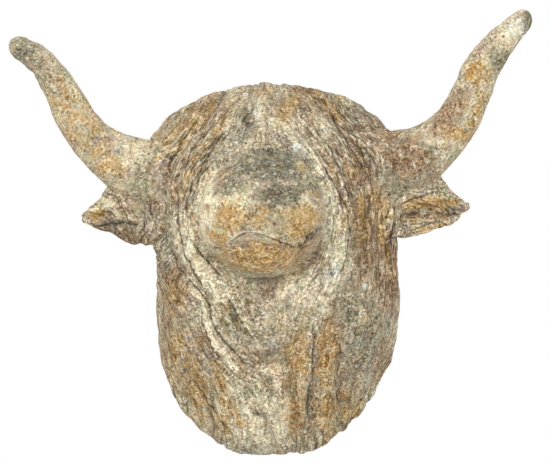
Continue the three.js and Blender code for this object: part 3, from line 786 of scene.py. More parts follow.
@dataclass(frozen=True)
class Stains:
    """Where weather, growth and old earth have coloured the stone, and where highlights and shade are painted
    on it.
    """

    ochre: tuple = patches(
        (-54, -60, 21, 28, 0.75), (28, -66, 24, 28, 0.75), (-12, -58, 24, 17, 0.5), (-16, -108, 48, 20, 0.7),
        (-64, -84, 16, 9, 0.8, -10), (-104, 46, 12, 40, 0.85, -50), (-126, 20, 10, 26, 0.6, -40),
        (14, 68, 11, 26, 0.95, -30), (-14, 86, 14, 7, 0.6), (66, 72, 13, 26, 0.55, 30),
        (44, 86, 10, 14, 0.6, 10), (-122, -150, 14, 36, 0.45), (-92, -262, 18, 50, 0.75, 15),
        (-60, -300, 20, 18, 0.7, 15), (-118, -220, 12, 40, 0.6), (25, -225, 13, 34, 0.95),
        (23, -292, 12, 30, 0.95), (59, -222, 12, 44, 1, -3), (60, -288, 13, 30, 0.9, -3),
        (88, -286, 14, 26, 0.7), (124, -60, 10, 30, 0.6), (100, -62, 9, 34, 0.8),
        (-228, 50, 26, 50, 0.42, 30), (-206, 70, 8, 22, 0.8, 34), (-196, 2, 30, 14, 0.6, -30),
        (229, 106, 17, 16, 0.85), (208, 34, 30, 8, 0.8), (232, 60, 9, 36, 0.6, -20), (-205, -58, 12, 8, 0.9),
        (180, -45, 32, 8, 1.1, 4), (182, -76, 26, 6, 0.9, 8),
    )
    # Brown stains. The first, second and fifth patches, down the head's right side, are the stone's brown and
    # partly painted shade where that side turns from the light; (-176, -86) and (166, -60) are painted shade
    # under the ears' flaps.
    brown: tuple = patches(
        (104, -84, 15, 54, 1.2), (129, -119, 16, 46, 1.4), (46, 76, 24, 22, 0.6), (-88, 62, 26, 18, 0.6, -30),
        (100, -10, 24, 66, 0.75), (122, 34, 26, 30, 0.6), (-92, 30, 13, 70, 0.3, -36),
        (-118, 6, 10, 50, 0.3, -20), (-74, 60, 10, 34, 0.45, -30), (-120, -142, 18, 34, 1),
        (-126, -200, 12, 60, 0.7), (-100, -244, 14, 40, 0.6, 10), (-16, -106, 50, 18, 1),
        (-66, -90, 13, 4, 0.7, -20), (44, -84, 16, 16, 0.5), (4, -66, 22, 26, 0.45), (-40, -74, 12, 12, 0.5),
        (199, 58, 15, 32, 1, -38), (152, 8, 30, 22, 1.05), (-250, 84, 10, 34, 0.6, 30),
        (44, -280, 5, 56, 0.75), (76, -270, 5, 44, 0.6), (124, -240, 12, 40, 0.6),
        (-176, -86, 40, 10, 0.6, -10), (166, -60, 34, 5, 0.8, 4), (222, 108, 18, 14, 0.5),
    )
    # Pale stains. The first patch, on the muzzle's left side, is a painted highlight; the second to fourth,
    # the crescents of the left and right cheeks, are pale stone and partly painted highlight where the cheeks
    # face the light.
    pale: tuple = patches(
        (-81, -58, 12, 42, 1.8), (-101, -94, 12, 44, 1.3, 20), (-84, -120, 10, 32, 0.9, 30),
        (68, -112, 17, 46, 1.35), (-60, -42, 26, 10, 0.9, 10), (38, -44, 18, 10, 0.6, -20),
        (-16, -304, 54, 34, 1.1), (-36, 66, 26, 30, 0.7), (20, 42, 40, 16, 0.7, -20),
        (44, -150, 42, 30, 0.85, 20), (-60, -200, 12, 54, 0.7, 25), (-178, 10, 24, 28, 0.4),
        (186, 28, 24, 6, 0.9, 4), (274, 156, 20, 26, 0.65), (-206, -52, 18, 8, 0.8),
        (232, 20, 8, 40, 0.7, -20), (-96, -8, 12, 26, 0.5),
    )
    moss: tuple = patches(
        (-10, -2, 44, 20, 1.1), (-52, -22, 26, 14, 0.6, 35), (34, -20, 24, 16, 0.6, -40),
        (4, -36, 30, 14, 1.1), (-296, 128, 24, 26, 0.6, 20), (263, 122, 14, 12, 0.9), (292, 168, 7, 18, 0.8),
        (-34, 52, 9, 20, 0.75, 15), (-42, 34, 8, 12, 0.6, 20), (-22, -290, 5, 3, 0.8), (-65, 8, 20, 20, 0.3),
        (80, -142, 16, 24, 0.5), (102, -196, 22, 44, 0.45), (-52, -180, 18, 26, 0.6),
        (-30, -334, 56, 12, 0.5),
    )
    # Grey stains; (-182, -78) and (165, -70), under the ears' flaps, are painted shade there.
    grey: tuple = patches(
        (-6, 24, 66, 30, 0.7), (-14, -62, 26, 24, 0.8), (150, 4, 40, 40, 0.8), (-36, -196, 40, 58, 0.8),
        (100, 50, 40, 46, 0.6), (-182, -78, 40, 14, 0.5), (165, -70, 34, 14, 0.5), (100, -220, 36, 52, 0.7),
        (-286, 112, 32, 44, 0.8, 30), (0, -345, 66, 14, 0.5), (60, -20, 16, 60, 0.3, -20),
        (290, 150, 30, 30, 0.4),
    )
    frost: tuple = patches(
        (-5, -210, 7, 11, 1.1, -20), (64, -128, 8, 22, 1.15, -25), (104, -141, 4, 5, 1.5),
        (28, 14, 26, 8, 0.85, -30), (60, -86, 7, 24, 0.85), (36, -88, 3.5, 3, 1.6), (47, -79, 4, 3, 1.6),
        (55, -70, 3, 3, 1.4), (-24, 62, 7, 16, 0.9), (278, 158, 16, 20, 0.75),
    )
    # Kind, strength, half width and corners of each band.
    bands: tuple = (
        # A painted highlight, with pale stone, along the crescent of the left cheek.
        ("pale", 1.4, 6.0, ((-104, -60), (-103, -80), (-99, -98), (-91, -115), (-80, -132))),
        ("pale", 0.9, 5.5, ((-127, -98), (-110, -124), (-94, -141), (-84, -160), (-81, -184), (-70, -208),
                            (-45, -236))),
        ("pale", 0.9, 2.6, ((-53, -148), (-42, -176), (-27, -199), (-16, -217))),
        ("pale", 0.8, 9.0, ((70, -120), (40, -134), (7, -151))),
        ("pale", 0.8, 3.0, ((94, -20), (104, -50), (100, -84))),
        ("pale", 0.7, 4.0, ((-24, 88), (-40, 50), (-64, 18), (-74, -8))),
        ("pale", 1.1, 7.0, ((34, 26), (52, -2), (62, -34), (66, -60))),
        # A painted highlight along the edge of the lower lip, beside the mouth's line.
        ("pale", 1.3, 2.4, ((-55, -88), (-41, -81), (-28, -79), (-14, -81), (0, -86), (12, -91))),
        ("grey", 0.9, 6.0, ((-108, -130), (-80, -148), (-70, -164), (-67, -184), (-56, -204), (-32, -228))),
        ("grey", 0.9, 3.5, ((42, -196), (42, -250), (36, -300))),
        ("brown", 0.65, 6.0, ((-48, 70), (-88, 17), (-106, -41))),
        ("ochre", 0.42, 9.0, ((-48, 74), (-88, 20), (-106, -30))),
        ("brown", 0.6, 4.0, ((-66, 72), (-102, 23), (-116, -20))),
        ("brown", 0.9, 8.0, ((36, 84), (63, 60), (90, 24), (110, -10), (120, -60))),
        ("brown", 0.8, 3.0, ((44, -196), (46, -250), (40, -300))),
        ("ochre", 0.85, 6.0, ((-74, 75), (-114, 17))),
        ("ochre", 0.7, 8.0, ((-72, -228), (-62, -262), (-40, -304))),
        ("ochre", 0.8, 5.0, ((112, -30), (122, -70), (132, -130))),
        ("moss", 0.4, 5.0, ((-124, -40), (-122, -90), (-130, -130))),
    )

    def paint(self, clay: Clay, hold: Array) -> None:
        """Stores each kind of stain on a piece.

        Args:
            clay: The piece.
            hold: How much each point shows, from 0 to 1.
        """
        for kind in ("ochre", "brown", "pale", "moss", "grey", "frost"):
            layers = [patch.over(clay.points) for patch in getattr(self, kind)]
            for band, strength, width, line in self.bands:
                if band == kind:
                    away = distance_to_line(clay.points[:, 0], clay.points[:, 2], line)
                    layers.append(strength * bell(away, width))
            clay.paint(kind, np.max(layers, axis=0) * hold)


@dataclass
class Marks:
    """What chisels and weather left at each point of a surface, with the shade and dirt painted into its
    recesses.
    """

    flow: Array
    height: Array
    worked: Array
    # Painted shade, with some dirt, in the recesses.
    shade_and_dirt: Array
    seam: Array

    def giving_way(self, other: "Marks", share: Array) -> "Marks":
        """These marks, which give way to others.

        Args:
            other: The other marks at the same points.
            share: How much of the others each point takes, from 0 to 1.

        Returns:
            The mixed marks, with no combed lines where one flow meets the other.
        """
        keep = 1.0 - share
        return Marks(
            np.where((share > 0.5)[:, None], other.flow, self.flow),
            keep * self.height + share * other.height,
            (keep * self.worked + share * other.worked) * np.abs(2.0 * share - 1.0),
            keep * self.shade_and_dirt + share * other.shade_and_dirt,
            np.where((share > 0.5)[:, None], other.seam, self.seam),
        )


@dataclass(frozen=True)
class Cut:
    """A line in the front view, in millimetres: how deep a fold it lies in and how strongly it is cut."""

    fold: float
    seam: float
    corners: tuple


def cut_lines(x: Array, z: Array, cuts: tuple, reach: float = 4.5) -> Array:
    """What a material needs to draw thin lines.

    Args:
        x: Places to the right.
        z: Heights.
        cuts: The lines; where two come near each other the stronger one counts.
        reach: How far from a line it is drawn at all.

    Returns:
        One row for each place: the offset from its line, and how strong the line is there, from 0 to 1.
    """
    seam = np.column_stack((np.full(len(x), 9.0), np.zeros(len(x)), np.zeros(len(x))))
    for cut in cuts:
        away, side, along = along_line(x, z, cut.corners)
        whole = sum(math.dist(a, b) for a, b in zip(cut.corners, cut.corners[1:]))
        strong = cut.seam * smoothstep(along, 0.0, 0.2 * whole) * smoothstep(whole - along, 0.0, 0.2 * whole)
        strong *= 1.0 - smoothstep(away, reach - 1.5, reach)
        near = strong > seam[:, 1]
        seam[near, 0], seam[near, 1] = side[near], strong[near]
    return seam


# Height, size and seed of each layer of wear; how much of them counts, their level, and how deep a pock is.
WEAR = ((1.2, 42.0, 21), (0.9, 13.0, 22), (0.6, 6.0, 23))
WEAR_SHARE = 0.8
WEAR_LEVEL = 1.2
POCK_DEPTH = 1.4


def weathering(points: Array) -> tuple[Array, Array]:
    """Wear that runs over every piece alike.

    Args:
        points: Places in millimetres.

    Returns:
        Its height, always inwards, and how much of a pock each place is.
    """
    height = sum(high * clouds(points, size, seed) for high, size, seed in WEAR)
    large, small = clouds(points, 9.0, 31), clouds(points, 5.5, 32)
    pocks = smoothstep(large, 0.5, 0.85) + 0.6 * smoothstep(small, 0.55, 0.9)
    return WEAR_SHARE * height - WEAR_LEVEL - POCK_DEPTH * pocks, pocks


def ridges(across: Array, along: Array, stretch: float, spacing: float, seed: int) -> Array:
    """Long ridges side by side.

    Args:
        across: Places across the ridges.
        along: Places along them.
        stretch: How many times longer than wide they are.
        spacing: Distance between neighbouring ridges.
        seed: Chooses one pattern out of many.

    Returns:
        Heights from 0 in the furrows to 1.
    """
    lanes = np.column_stack((across, along / stretch, np.zeros(len(along))))
    return np.abs(clouds(lanes, spacing, seed)) ** 0.8


class SharedSkin:
    """The stone's whole outer surface in one smooth skin, which every stone piece is fitted to.

    Points up to HELD from it are moved onto it, and those beyond FREE stay. It is smoothest at the joints:
    between two distances beside the head's middle, over a height, and along the lines between horns and ears.
    """

    HELD = 2.6
    FREE = 5.5
    JOINTS_FROM = (92.0, 104.0)
    JOINTS_TO = (166.0, 176.0)
    JOINTS_OVER = (-120.0, -106.0)
    HORN_TO_EAR = (((-150.0, -46.0), (-196.0, -27.0)), ((140.0, -36.0), (192.0, -16.0)))

    def __init__(self, nodes: tuple[str, ...], voxel: float = 1.8, swell: float = 0.25) -> None:
        """Lets the nodes run together over their joints and smooths the result.

        Args:
            nodes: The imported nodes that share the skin.
            voxel: Size of the skin's faces in millimetres.
            swell: How far the nodes grow to run together; the skin is drawn back by it.
        """
        clay = Clay(nodes, "shared_skin", voxel, swell)
        clay.smooth(8)
        clay.smooth(30, keep=1.0 - self.near_joints(clay.points))
        clay.push(np.full(len(clay.points), -swell))
        self.points = clay.points
        self.normals = clay.normals()
        corners = clay.triangles()
        island = self.islands(clay)
        outer = np.bincount(island).argmax()
        self.corners = corners[island[corners[:, 0]] == outer]
        self.tree = BVHTree.FromPolygons(self.points.tolist(), self.corners.tolist())
        clay.discard()

    def near_joints(self, points: Array) -> Array:
        """How near points lie to the joints of horns and ears.

        Args:
            points: Places in millimetres.

        Returns:
            Numbers from 0, well away, to 1, at a joint.
        """
        x, z = points[:, 0] - HEAD_X, points[:, 2]
        beside = smoothstep(np.abs(x), *self.JOINTS_FROM) * (1.0 - smoothstep(np.abs(x), *self.JOINTS_TO))
        beside *= smoothstep(z, *self.JOINTS_OVER) * smoothstep(-points[:, 1], -6.0, 8.0)
        for line in self.HORN_TO_EAR:
            beside = np.maximum(beside, 1.0 - smoothstep(distance_to_line(points[:, 0], z, line), 5.0, 11.0))
        return beside

    @staticmethod
    def islands(clay: Clay) -> Array:
        """Numbers the loose parts of a skin.

        Args:
            clay: The skin.

        Returns:
            For each point, the lowest point number of its part.
        """
        a, b = clay.edges[:, 0], clay.edges[:, 1]
        label = np.arange(len(clay.points))
        while True:
            low = np.minimum(label[a], label[b])
            after = label.copy()
            np.minimum.at(after, a, low)
            np.minimum.at(after, b, low)
            after = after[after]
            if np.array_equal(after, label):
                return label
            label = after

    def fit(self, clay: Clay) -> tuple[Array, Array]:
        """Moves a piece's outer points onto the skin.

        Args:
            clay: The piece.

        Returns:
            The skin's normals there, and how firmly the skin holds each point, from 0 inside to 1 on it.
        """
        count = len(clay.points)
        places = np.empty((count, 3))
        faces = np.empty(count, np.int64)
        away = np.empty(count)
        for i, point in enumerate(clay.points.tolist()):
            place, _, faces[i], away[i] = self.tree.find_nearest(point)
            places[i] = place
        corners = self.corners[faces]
        a, b, c = (self.points[corners[:, k]] for k in range(3))
        ab, ac, ap = b - a, c - a, places - a
        bb, bc, cc = (ab * ab).sum(1), (ab * ac).sum(1), (ac * ac).sum(1)
        pb, pc = (ap * ab).sum(1), (ap * ac).sum(1)
        whole = np.maximum(bb * cc - bc * bc, 1e-12)
        share_b, share_c = (cc * pb - bc * pc) / whole, (bb * pc - bc * pb) / whole
        at_a, at_b, at_c = (self.normals[corners[:, k]] for k in range(3))
        normals = at_a * (1.0 - share_b - share_c)[:, None]
        normals += at_b * share_b[:, None] + at_c * share_c[:, None]
        normals /= np.maximum(np.linalg.norm(normals, axis=1), 1e-9)[:, None]
        hold = 1.0 - smoothstep(away, self.HELD, self.FREE)
        clay.points += hold[:, None] * (places - clay.points)
        return normals, hold


# The head's carving


@dataclass
class Carving:
    """Combed hair that parts round the muzzle, the mouth, cheek lines and throat pleats.

    Places, depths, widths and spacings are in millimetres. The patches of calm are where the stone shows few
    of the finely combed lines. A field with two numbers gives the limits between which something eases in.
    """

    muzzle_x: float = -16.0
    muzzle_z: float = -58.0
    muzzle_radius: float = 71.0
    foot_radius: float = 79.5
    foot_depth: float = 160.0
    brow_lead: float = 14.0
    throat_setback: float = 22.0
    whorl_x: float = 14.0
    whorl_reach: float = 440.0
    fan: float = 130.0
    gather: float = 0.5
    gather_over: tuple = (150.0, 330.0)
    gather_half: float = 110.0
    sweep: float = 20.0
    sweep_left: tuple = (-120.0, -60.0)
    sweep_right: tuple = (-10.0, 50.0)
    sweep_over: tuple = (100.0, 250.0)
    throat_reach: tuple = (14.0, 52.0)
    throat_over: tuple = (70.0, 150.0)
    throat_curve: tuple = (
        (-122, -40), (-120, -80), (-112, -108), (-98, -131), (-84, -149), (-76, -168),
        (-72, -186), (-61, -206), (-39, -230), (-19, -249), (-8, -290), (-10, -345),
    )
    mouth_middle: float = 5.0
    mouth_half: float = 42.0
    mouth_drop: float = 36.5
    mouth_arch: float = 10.0
    mouth_lean: float = 1.2
    mouth_tilt: float = 3.0
    rim_fill: float = 3.7
    rim_over: tuple = (8.0, 42.0)
    lock_depth: float = 2.6
    strand_depth: float = 1.2
    crease_depth: float = 1.2
    lock_spacing: float = 22.0
    strand_spacing: float = 9.5
    lock_length: float = 9.0
    hair_swell: float = 3.4
    fold_depth: float = 2.8
    crack_depth: float = 2.0
    lip_depth: float = 1.5
    groove_depth: float = 2.6
    fold_width: float = 2.6
    crack_width: float = 2.4
    lip_width: float = 1.8
    groove_width: float = 3.2
    groove_off: float = 5.0
    mouth_seam: float = 0.8
    mouth_shake: float = 1.2
    line_shake: float = 1.4
    chisel_depth: float = 2.2
    chisel_spacing: float = 7.0
    horn_beside: tuple = (112.0, 134.0)
    horn_over: tuple = (-60.0, -30.0)
    combed_over: tuple = (-150.0, -90.0)
    hollow_z: float = -100.0
    hollow_wide: float = 100.0
    hollow_high: float = 160.0
    hollow_depth: float = 66.0
    cuts: tuple = (
        Cut(1.0, 0.75, ((-70.8, 53.4), (-91.6, 26.7), (-109, -8.1), (-115, -30), (-114, -52))),
        Cut(1.0, 1.0, ((-115, -30), (-114, -54), (-112, -78), (-107, -100), (-98, -119), (-87, -136),
                       (-78, -150))),
        Cut(0.9, 1.0, ((-103, -74), (-97, -86), (-84, -104), (-71, -121), (-58, -136))),
        Cut(0.7, 0.8, ((-128, -62), (-125, -90), (-116, -114), (-103, -132), (-90, -146))),
        Cut(0.5, 0.8, ((-84, -86), (-79, -92.5), (-73, -96), (-64, -97.5))),
        Cut(0.9, 0.8, ((-58, 48), (-72, 24), (-85, 1), (-96, -20), (-102, -44))),
        Cut(0.8, 0.75, ((50, 40), (66, 12), (76, -10), (84, -34), (92, -56))),
        Cut(0.8, 0.8, ((62, 66), (76, 36), (90, 12), (102, -6), (112, -24))),
        Cut(0.7, 0.8, ((-86, 62), (-104, 36), (-120, 8), (-128, -16))),
        Cut(0.9, 0.55, ((63, 82), (86, 41), (102, 14), (110, -1))),
        Cut(0.9, 0.8, ((27.8, 40.6), (51, 5.8), (68.4, -25.5), (82.4, -52.2), (85.8, -77.7), (80, -112.5),
                       (66, -139))),
        Cut(0.7, 0.6, ((12, 66), (44, 34), (72, 0), (90, -34), (96, -64))),
        Cut(1.2, 0.8, ((-122, -100), (-106, -127), (-88, -145), (-77, -162), (-74, -182), (-63, -203),
                       (-39, -229), (-19, -244))),
        Cut(0.6, 0.6, ((-62, -140), (-45, -174), (-30, -197), (-19, -215))),
        Cut(0.9, 0.8, ((-104, -240), (-80, -280), (-50, -318))),
        Cut(1.3, 0.6, ((43, -188), (41, -240), (36, -290), (30, -328))),
        Cut(0.7, 0.3, ((16, -210), (10, -250), (6, -300))),
        Cut(0.7, 0.35, ((66, -236), (62, -268), (72, -300))),
        Cut(0.8, 0.6, ((70, -180), (74, -220), (70, -258), (80, -290))),
        Cut(0.7, 0.7, ((-88, -156), (-84, -186), (-74, -212), (-54, -238), (-34, -256))),
        Cut(0.9, 0.45, ((124, -239), (102, -272), (84, -300))),
        Cut(0.6, 0.5, ((-20, 84), (-34, 56), (-66, 28), (-84, 2))),
        Cut(0.5, 0.45, ((0, 84), (6, 62), (30, 40))),
        Cut(0.5, 1.0, ((32, -91.5), (40, -85))),
        Cut(0.4, 1.0, ((37, -83), (46, -79))),
        Cut(0.4, 1.0, ((44, -77), (52.5, -71))),
        Cut(0.5, 1.0, ((47, -81.5), (55, -73))),
        Cut(0.5, 0.9, ((26, -100), (35, -93))),
        Cut(0.4, 0.9, ((23, -106), (33, -99.5))),
    )
    cracks: tuple = (
        ((37, -85), (43, -81)), ((43, -86), (49, -81)), ((49, -77), (54, -72)), ((26, -94), (31, -96)),
        ((31, -101), (36, -97)), ((-50, -119), (-34, -126), (-16, -129.5), (4, -128), (18, -121), (28, -112)),
        ((-24, -133), (-8, -135), (8, -132)), ((-38, 54), (-30, 46), (-24, 50)),
        ((-26, -286), (-21, -291), (-10, -293)), ((-17, -288), (-11, -298), (-12, -316)),
        ((-108, -240), (-103, -248)), ((60, -114), (64, -126)),
    )
    swellings: tuple = patches(
        (140, -150, 16, 60, 3), (48, -326, 34, 16, 4.5), (-30, 94, 100, 14, -1.7), (72, -320, 18, 16, 4),
        (118, -252, 18, 16, -3), (140, -112, 10, 14, -3), (-142, 34, 12, 12, 2), (-205, -40, 16, 10, -2.5),
        (206, -32, 16, 8, -2),
    )
    calm: tuple = patches(
        (-102, -98, 18, 46, 0.9, 20), (104, -70, 24, 60, 0.4), (30, -185, 60, 60, 0.55),
        (104, -220, 44, 64, 0.5), (-10, -300, 60, 40, 0.45), (30, -260, 44, 60, 0.35),
        (-16, 40, 60, 34, 0.35), (-14, 72, 40, 26, 0.65), (-112, -200, 26, 70, 0.4), (76, -110, 26, 50, 0.4),
    )

    def from_muzzle(self, points: Array) -> tuple[Array, Array, Array]:
        """Where points lie from the muzzle's middle, unrolled over the round of the head.

        Args:
            points: Places in millimetres.

        Returns:
            How far right, how far up, and the direction.
        """
        x, z = points[:, 0] - self.muzzle_x, points[:, 2] - self.muzzle_z
        flat = np.hypot(x, z)
        angle = np.arctan2(z, x)
        up = smoothstep(np.sin(angle), 0.1, 0.9)
        down = smoothstep(-np.sin(angle), 0.1, 0.9)
        rise = self.foot_depth + self.brow_lead * up - self.throat_setback * down
        depth = BAR_TO_WALL - points[:, 1]
        over = self.foot_radius + np.hypot(flat - self.foot_radius, np.maximum(rise - depth, 0.0))
        reach = np.where(flat > self.foot_radius, over, flat)
        return reach * np.cos(angle), reach * np.sin(angle), angle

    def flow(self, points: Array) -> Array:
        """Coordinates across and along the hair, which falls from the crown and parts round the muzzle.

        Args:
            points: Places in millimetres.

        Returns:
            One row for each point: across the hair and along it.
        """
        x, z, _ = self.from_muzzle(points)
        reach = np.maximum(np.hypot(x, z), self.foot_radius * 0.98)
        part = (self.foot_radius / reach) ** 2
        low = smoothstep(-points[:, 2], *self.gather_over)
        across = x * (1.0 - part) * (1.0 + self.gather * low * (np.abs(x) / self.gather_half) ** 1.5)
        across += self.fan * np.arctan2(x - self.whorl_x, self.whorl_reach - z)
        window = smoothstep(points[:, 0], *self.sweep_left) * smoothstep(-points[:, 0], *self.sweep_right)
        across -= self.sweep * window * smoothstep(-points[:, 2], *self.sweep_over)
        away, side, _ = along_line(points[:, 0], points[:, 2], self.throat_curve)
        window = (1.0 - smoothstep(away, *self.throat_reach)) * smoothstep(-points[:, 2], *self.throat_over)
        across += window * (side - across)
        along = z * (1.0 + part)
        across += 6.0 * clouds(points, 46.0, 3) + 2.4 * clouds(points, 17.0, 5)
        return np.column_stack((across, along))

    def mouth_line(self) -> tuple:
        """Bends the mouth's line.

        Returns:
            Its corners in the front view, in millimetres.
        """
        line = []
        for share in np.linspace(-1.0, 1.0, 25):
            lift = self.mouth_arch * (1 - share**2) * (1 - self.mouth_lean * share)
            line.append((
                self.muzzle_x + self.mouth_middle + self.mouth_half * share,
                self.muzzle_z - self.mouth_drop + lift - self.mouth_tilt * share,
            ))
        return tuple(line)

    def in_hollow(self, points: Array) -> Array:
        """Finds the hollow of the back.

        Args:
            points: Places in millimetres.

        Returns:
            True for each point in the hollow.
        """
        x, z = points[:, 0] - HEAD_X, points[:, 2] - self.hollow_z
        within = np.hypot(x / self.hollow_wide, z / self.hollow_high) < 1.0
        return within & (BAR_TO_WALL - points[:, 1] < self.hollow_depth)

    def relief(self, lanes: Array) -> tuple[Array, Array]:
        """The relief of locks and strands.

        Args:
            lanes: Places across and along the hair, one row each.

        Returns:
            Its height, and how far each place lies in the crease between two locks, from 0 to 1.
        """
        locks = np.abs(clouds(lanes, self.lock_spacing, 11))
        strands = np.abs(clouds(lanes, self.strand_spacing, 12))
        crease = 1.0 - smoothstep(locks, 0.0, 0.2)
        carved = self.lock_depth * (np.minimum(locks * 1.6, 1.0) ** 0.7 - 1.0) - self.crease_depth * crease
        carved += self.strand_depth * (strands**0.75 - 1.0)
        return carved, crease

    def drawn(self, points: Array, front: Array) -> tuple[Array, Array, Array, Array]:
        """Draws the mouth, the folds, the cracks and the thin lines, all a little shaky.

        Args:
            points: Places in millimetres.
            front: How much each point belongs to the front, from 0 to 1.

        Returns:
            How far each point lies in the mouth, in a fold and in a crack, and its place beside a thin line.
        """
        x, z = points[:, 0], points[:, 2]
        loose = clouds(points, 12.0, 7)
        shaken_x, shaken_z = x + self.mouth_shake * loose, z + self.mouth_shake * clouds(points, 9.0, 6)
        in_mouth = bell(distance_to_line(shaken_x, shaken_z, self.mouth_line()), self.lip_width) * front
        folds, cracks = np.zeros(len(x)), np.zeros(len(x))
        shaken_x, shaken_z = x + self.line_shake * loose, z + self.line_shake * clouds(points, 14.0, 10)
        for cut in self.cuts:
            away = distance_to_line(shaken_x, shaken_z, cut.corners)
            folds = np.maximum(folds, cut.fold * bell(away, self.fold_width))
        for line in self.cracks:
            cracks = np.maximum(cracks, bell(distance_to_line(shaken_x, shaken_z, line), self.crack_width))
        folds *= front * (0.45 + 0.55 * smoothstep(clouds(points, 20.0, 8), -0.5, 0.2))
        cracks *= front * smoothstep(clouds(points, 6.0, 13), -0.9, -0.1)
        mouth = Cut(1.0, self.mouth_seam, self.mouth_line())
        seam = cut_lines(shaken_x, shaken_z, self.cuts + (mouth,))
        seam[:, 1] *= front
        return in_mouth, folds, cracks, seam

    def worked(self, points: Array, on_hair: Array) -> Array:
        """Finds how strongly the finely combed lines show, which fade over the horns' roots and calm patches.

        Args:
            points: Places in millimetres.
            on_hair: How much each point belongs to the hair, from 0 to 1.

        Returns:
            Numbers from 0 to a little over 1.
        """
        x, z = points[:, 0], points[:, 2]
        at_horn = smoothstep(np.abs(x - HEAD_X), *self.horn_beside) * smoothstep(z, *self.horn_over)
        calm = np.max([patch.over(points) for patch in self.calm], axis=0)
        worked = on_hair * (1.0 - 0.75 * at_horn) * (1.0 - calm) * (0.8 + 0.25 * clouds(points, 34.0, 15))
        return worked * (1.0 + 0.25 * smoothstep(z, *self.combed_over))

    def marks(self, points: Array, normals: Array) -> Marks:
        """Carves the head, and what of the hair runs on over the roots of horns and ears.

        Args:
            points: Places in millimetres.
            normals: Directions that the surface faces there.

        Returns:
            The marks.
        """
        x, z = points[:, 0], points[:, 2]
        depth = BAR_TO_WALL - points[:, 1]
        from_x, from_z, angle = self.from_muzzle(points)
        reach = np.hypot(from_x, from_z)
        outside = smoothstep(-normals[:, 1] + 0.02 * depth, -0.35, 0.25) * smoothstep(depth, 1.0, 8.0)
        hollow = self.in_hollow(points)
        outside = np.where(hollow, 0.0, outside)
        front = smoothstep(-normals[:, 1], 0.1, 0.4) * outside
        on_hair = smoothstep(reach, self.muzzle_radius - 2.0, self.foot_radius + 6.0) * outside

        flow = self.flow(points)
        lanes = np.column_stack((flow[:, 0], flow[:, 1] / self.lock_length, np.zeros(len(x))))
        carved, crease = self.relief(lanes)
        height, pocks = weathering(points)
        height += (carved + self.hair_swell) * on_hair
        height += sum(patch.over(points) for patch in self.swellings) * outside
        sides = smoothstep(np.hypot(normals[:, 0], normals[:, 2]), 0.2, 0.7) * ~hollow
        height += self.rim_fill * sides * (1.0 - smoothstep(depth, *self.rim_over))

        in_mouth, folds, cracks, seam = self.drawn(points, front)
        rim = bell(reach - self.muzzle_radius - self.groove_off, self.groove_width)
        rim = rim * smoothstep(-np.sin(angle), -0.75, -0.1) * front
        cuts = -self.lip_depth * in_mouth - self.fold_depth * folds - self.crack_depth * cracks
        height += cuts - self.groove_depth * rim

        strokes = (x * 0.8 + z * 0.6) / self.chisel_spacing + 1.3 * clouds(points, 25.0, 9)
        tooth = np.abs(strokes % 1.0 - 0.5)
        height -= self.chisel_depth * tooth * (1.0 - outside)
        # Painted shade, with some dirt, in the mouth, folds, cracks, the groove round the muzzle, pocks, the
        # creases between locks and the chisel grooves of the back.
        shade_and_dirt = 0.3 * in_mouth + 0.25 * folds + 0.9 * cracks + 0.35 * rim + 0.45 * pocks * outside
        shade_and_dirt = np.maximum(shade_and_dirt, np.maximum(0.3 * crease * on_hair, 0.8 * (tooth - 0.2) * (1.0 - outside)))
        return Marks(flow, height, self.worked(points, on_hair), np.clip(shade_and_dirt, 0.0, 1.0), seam)


# Stone pieces


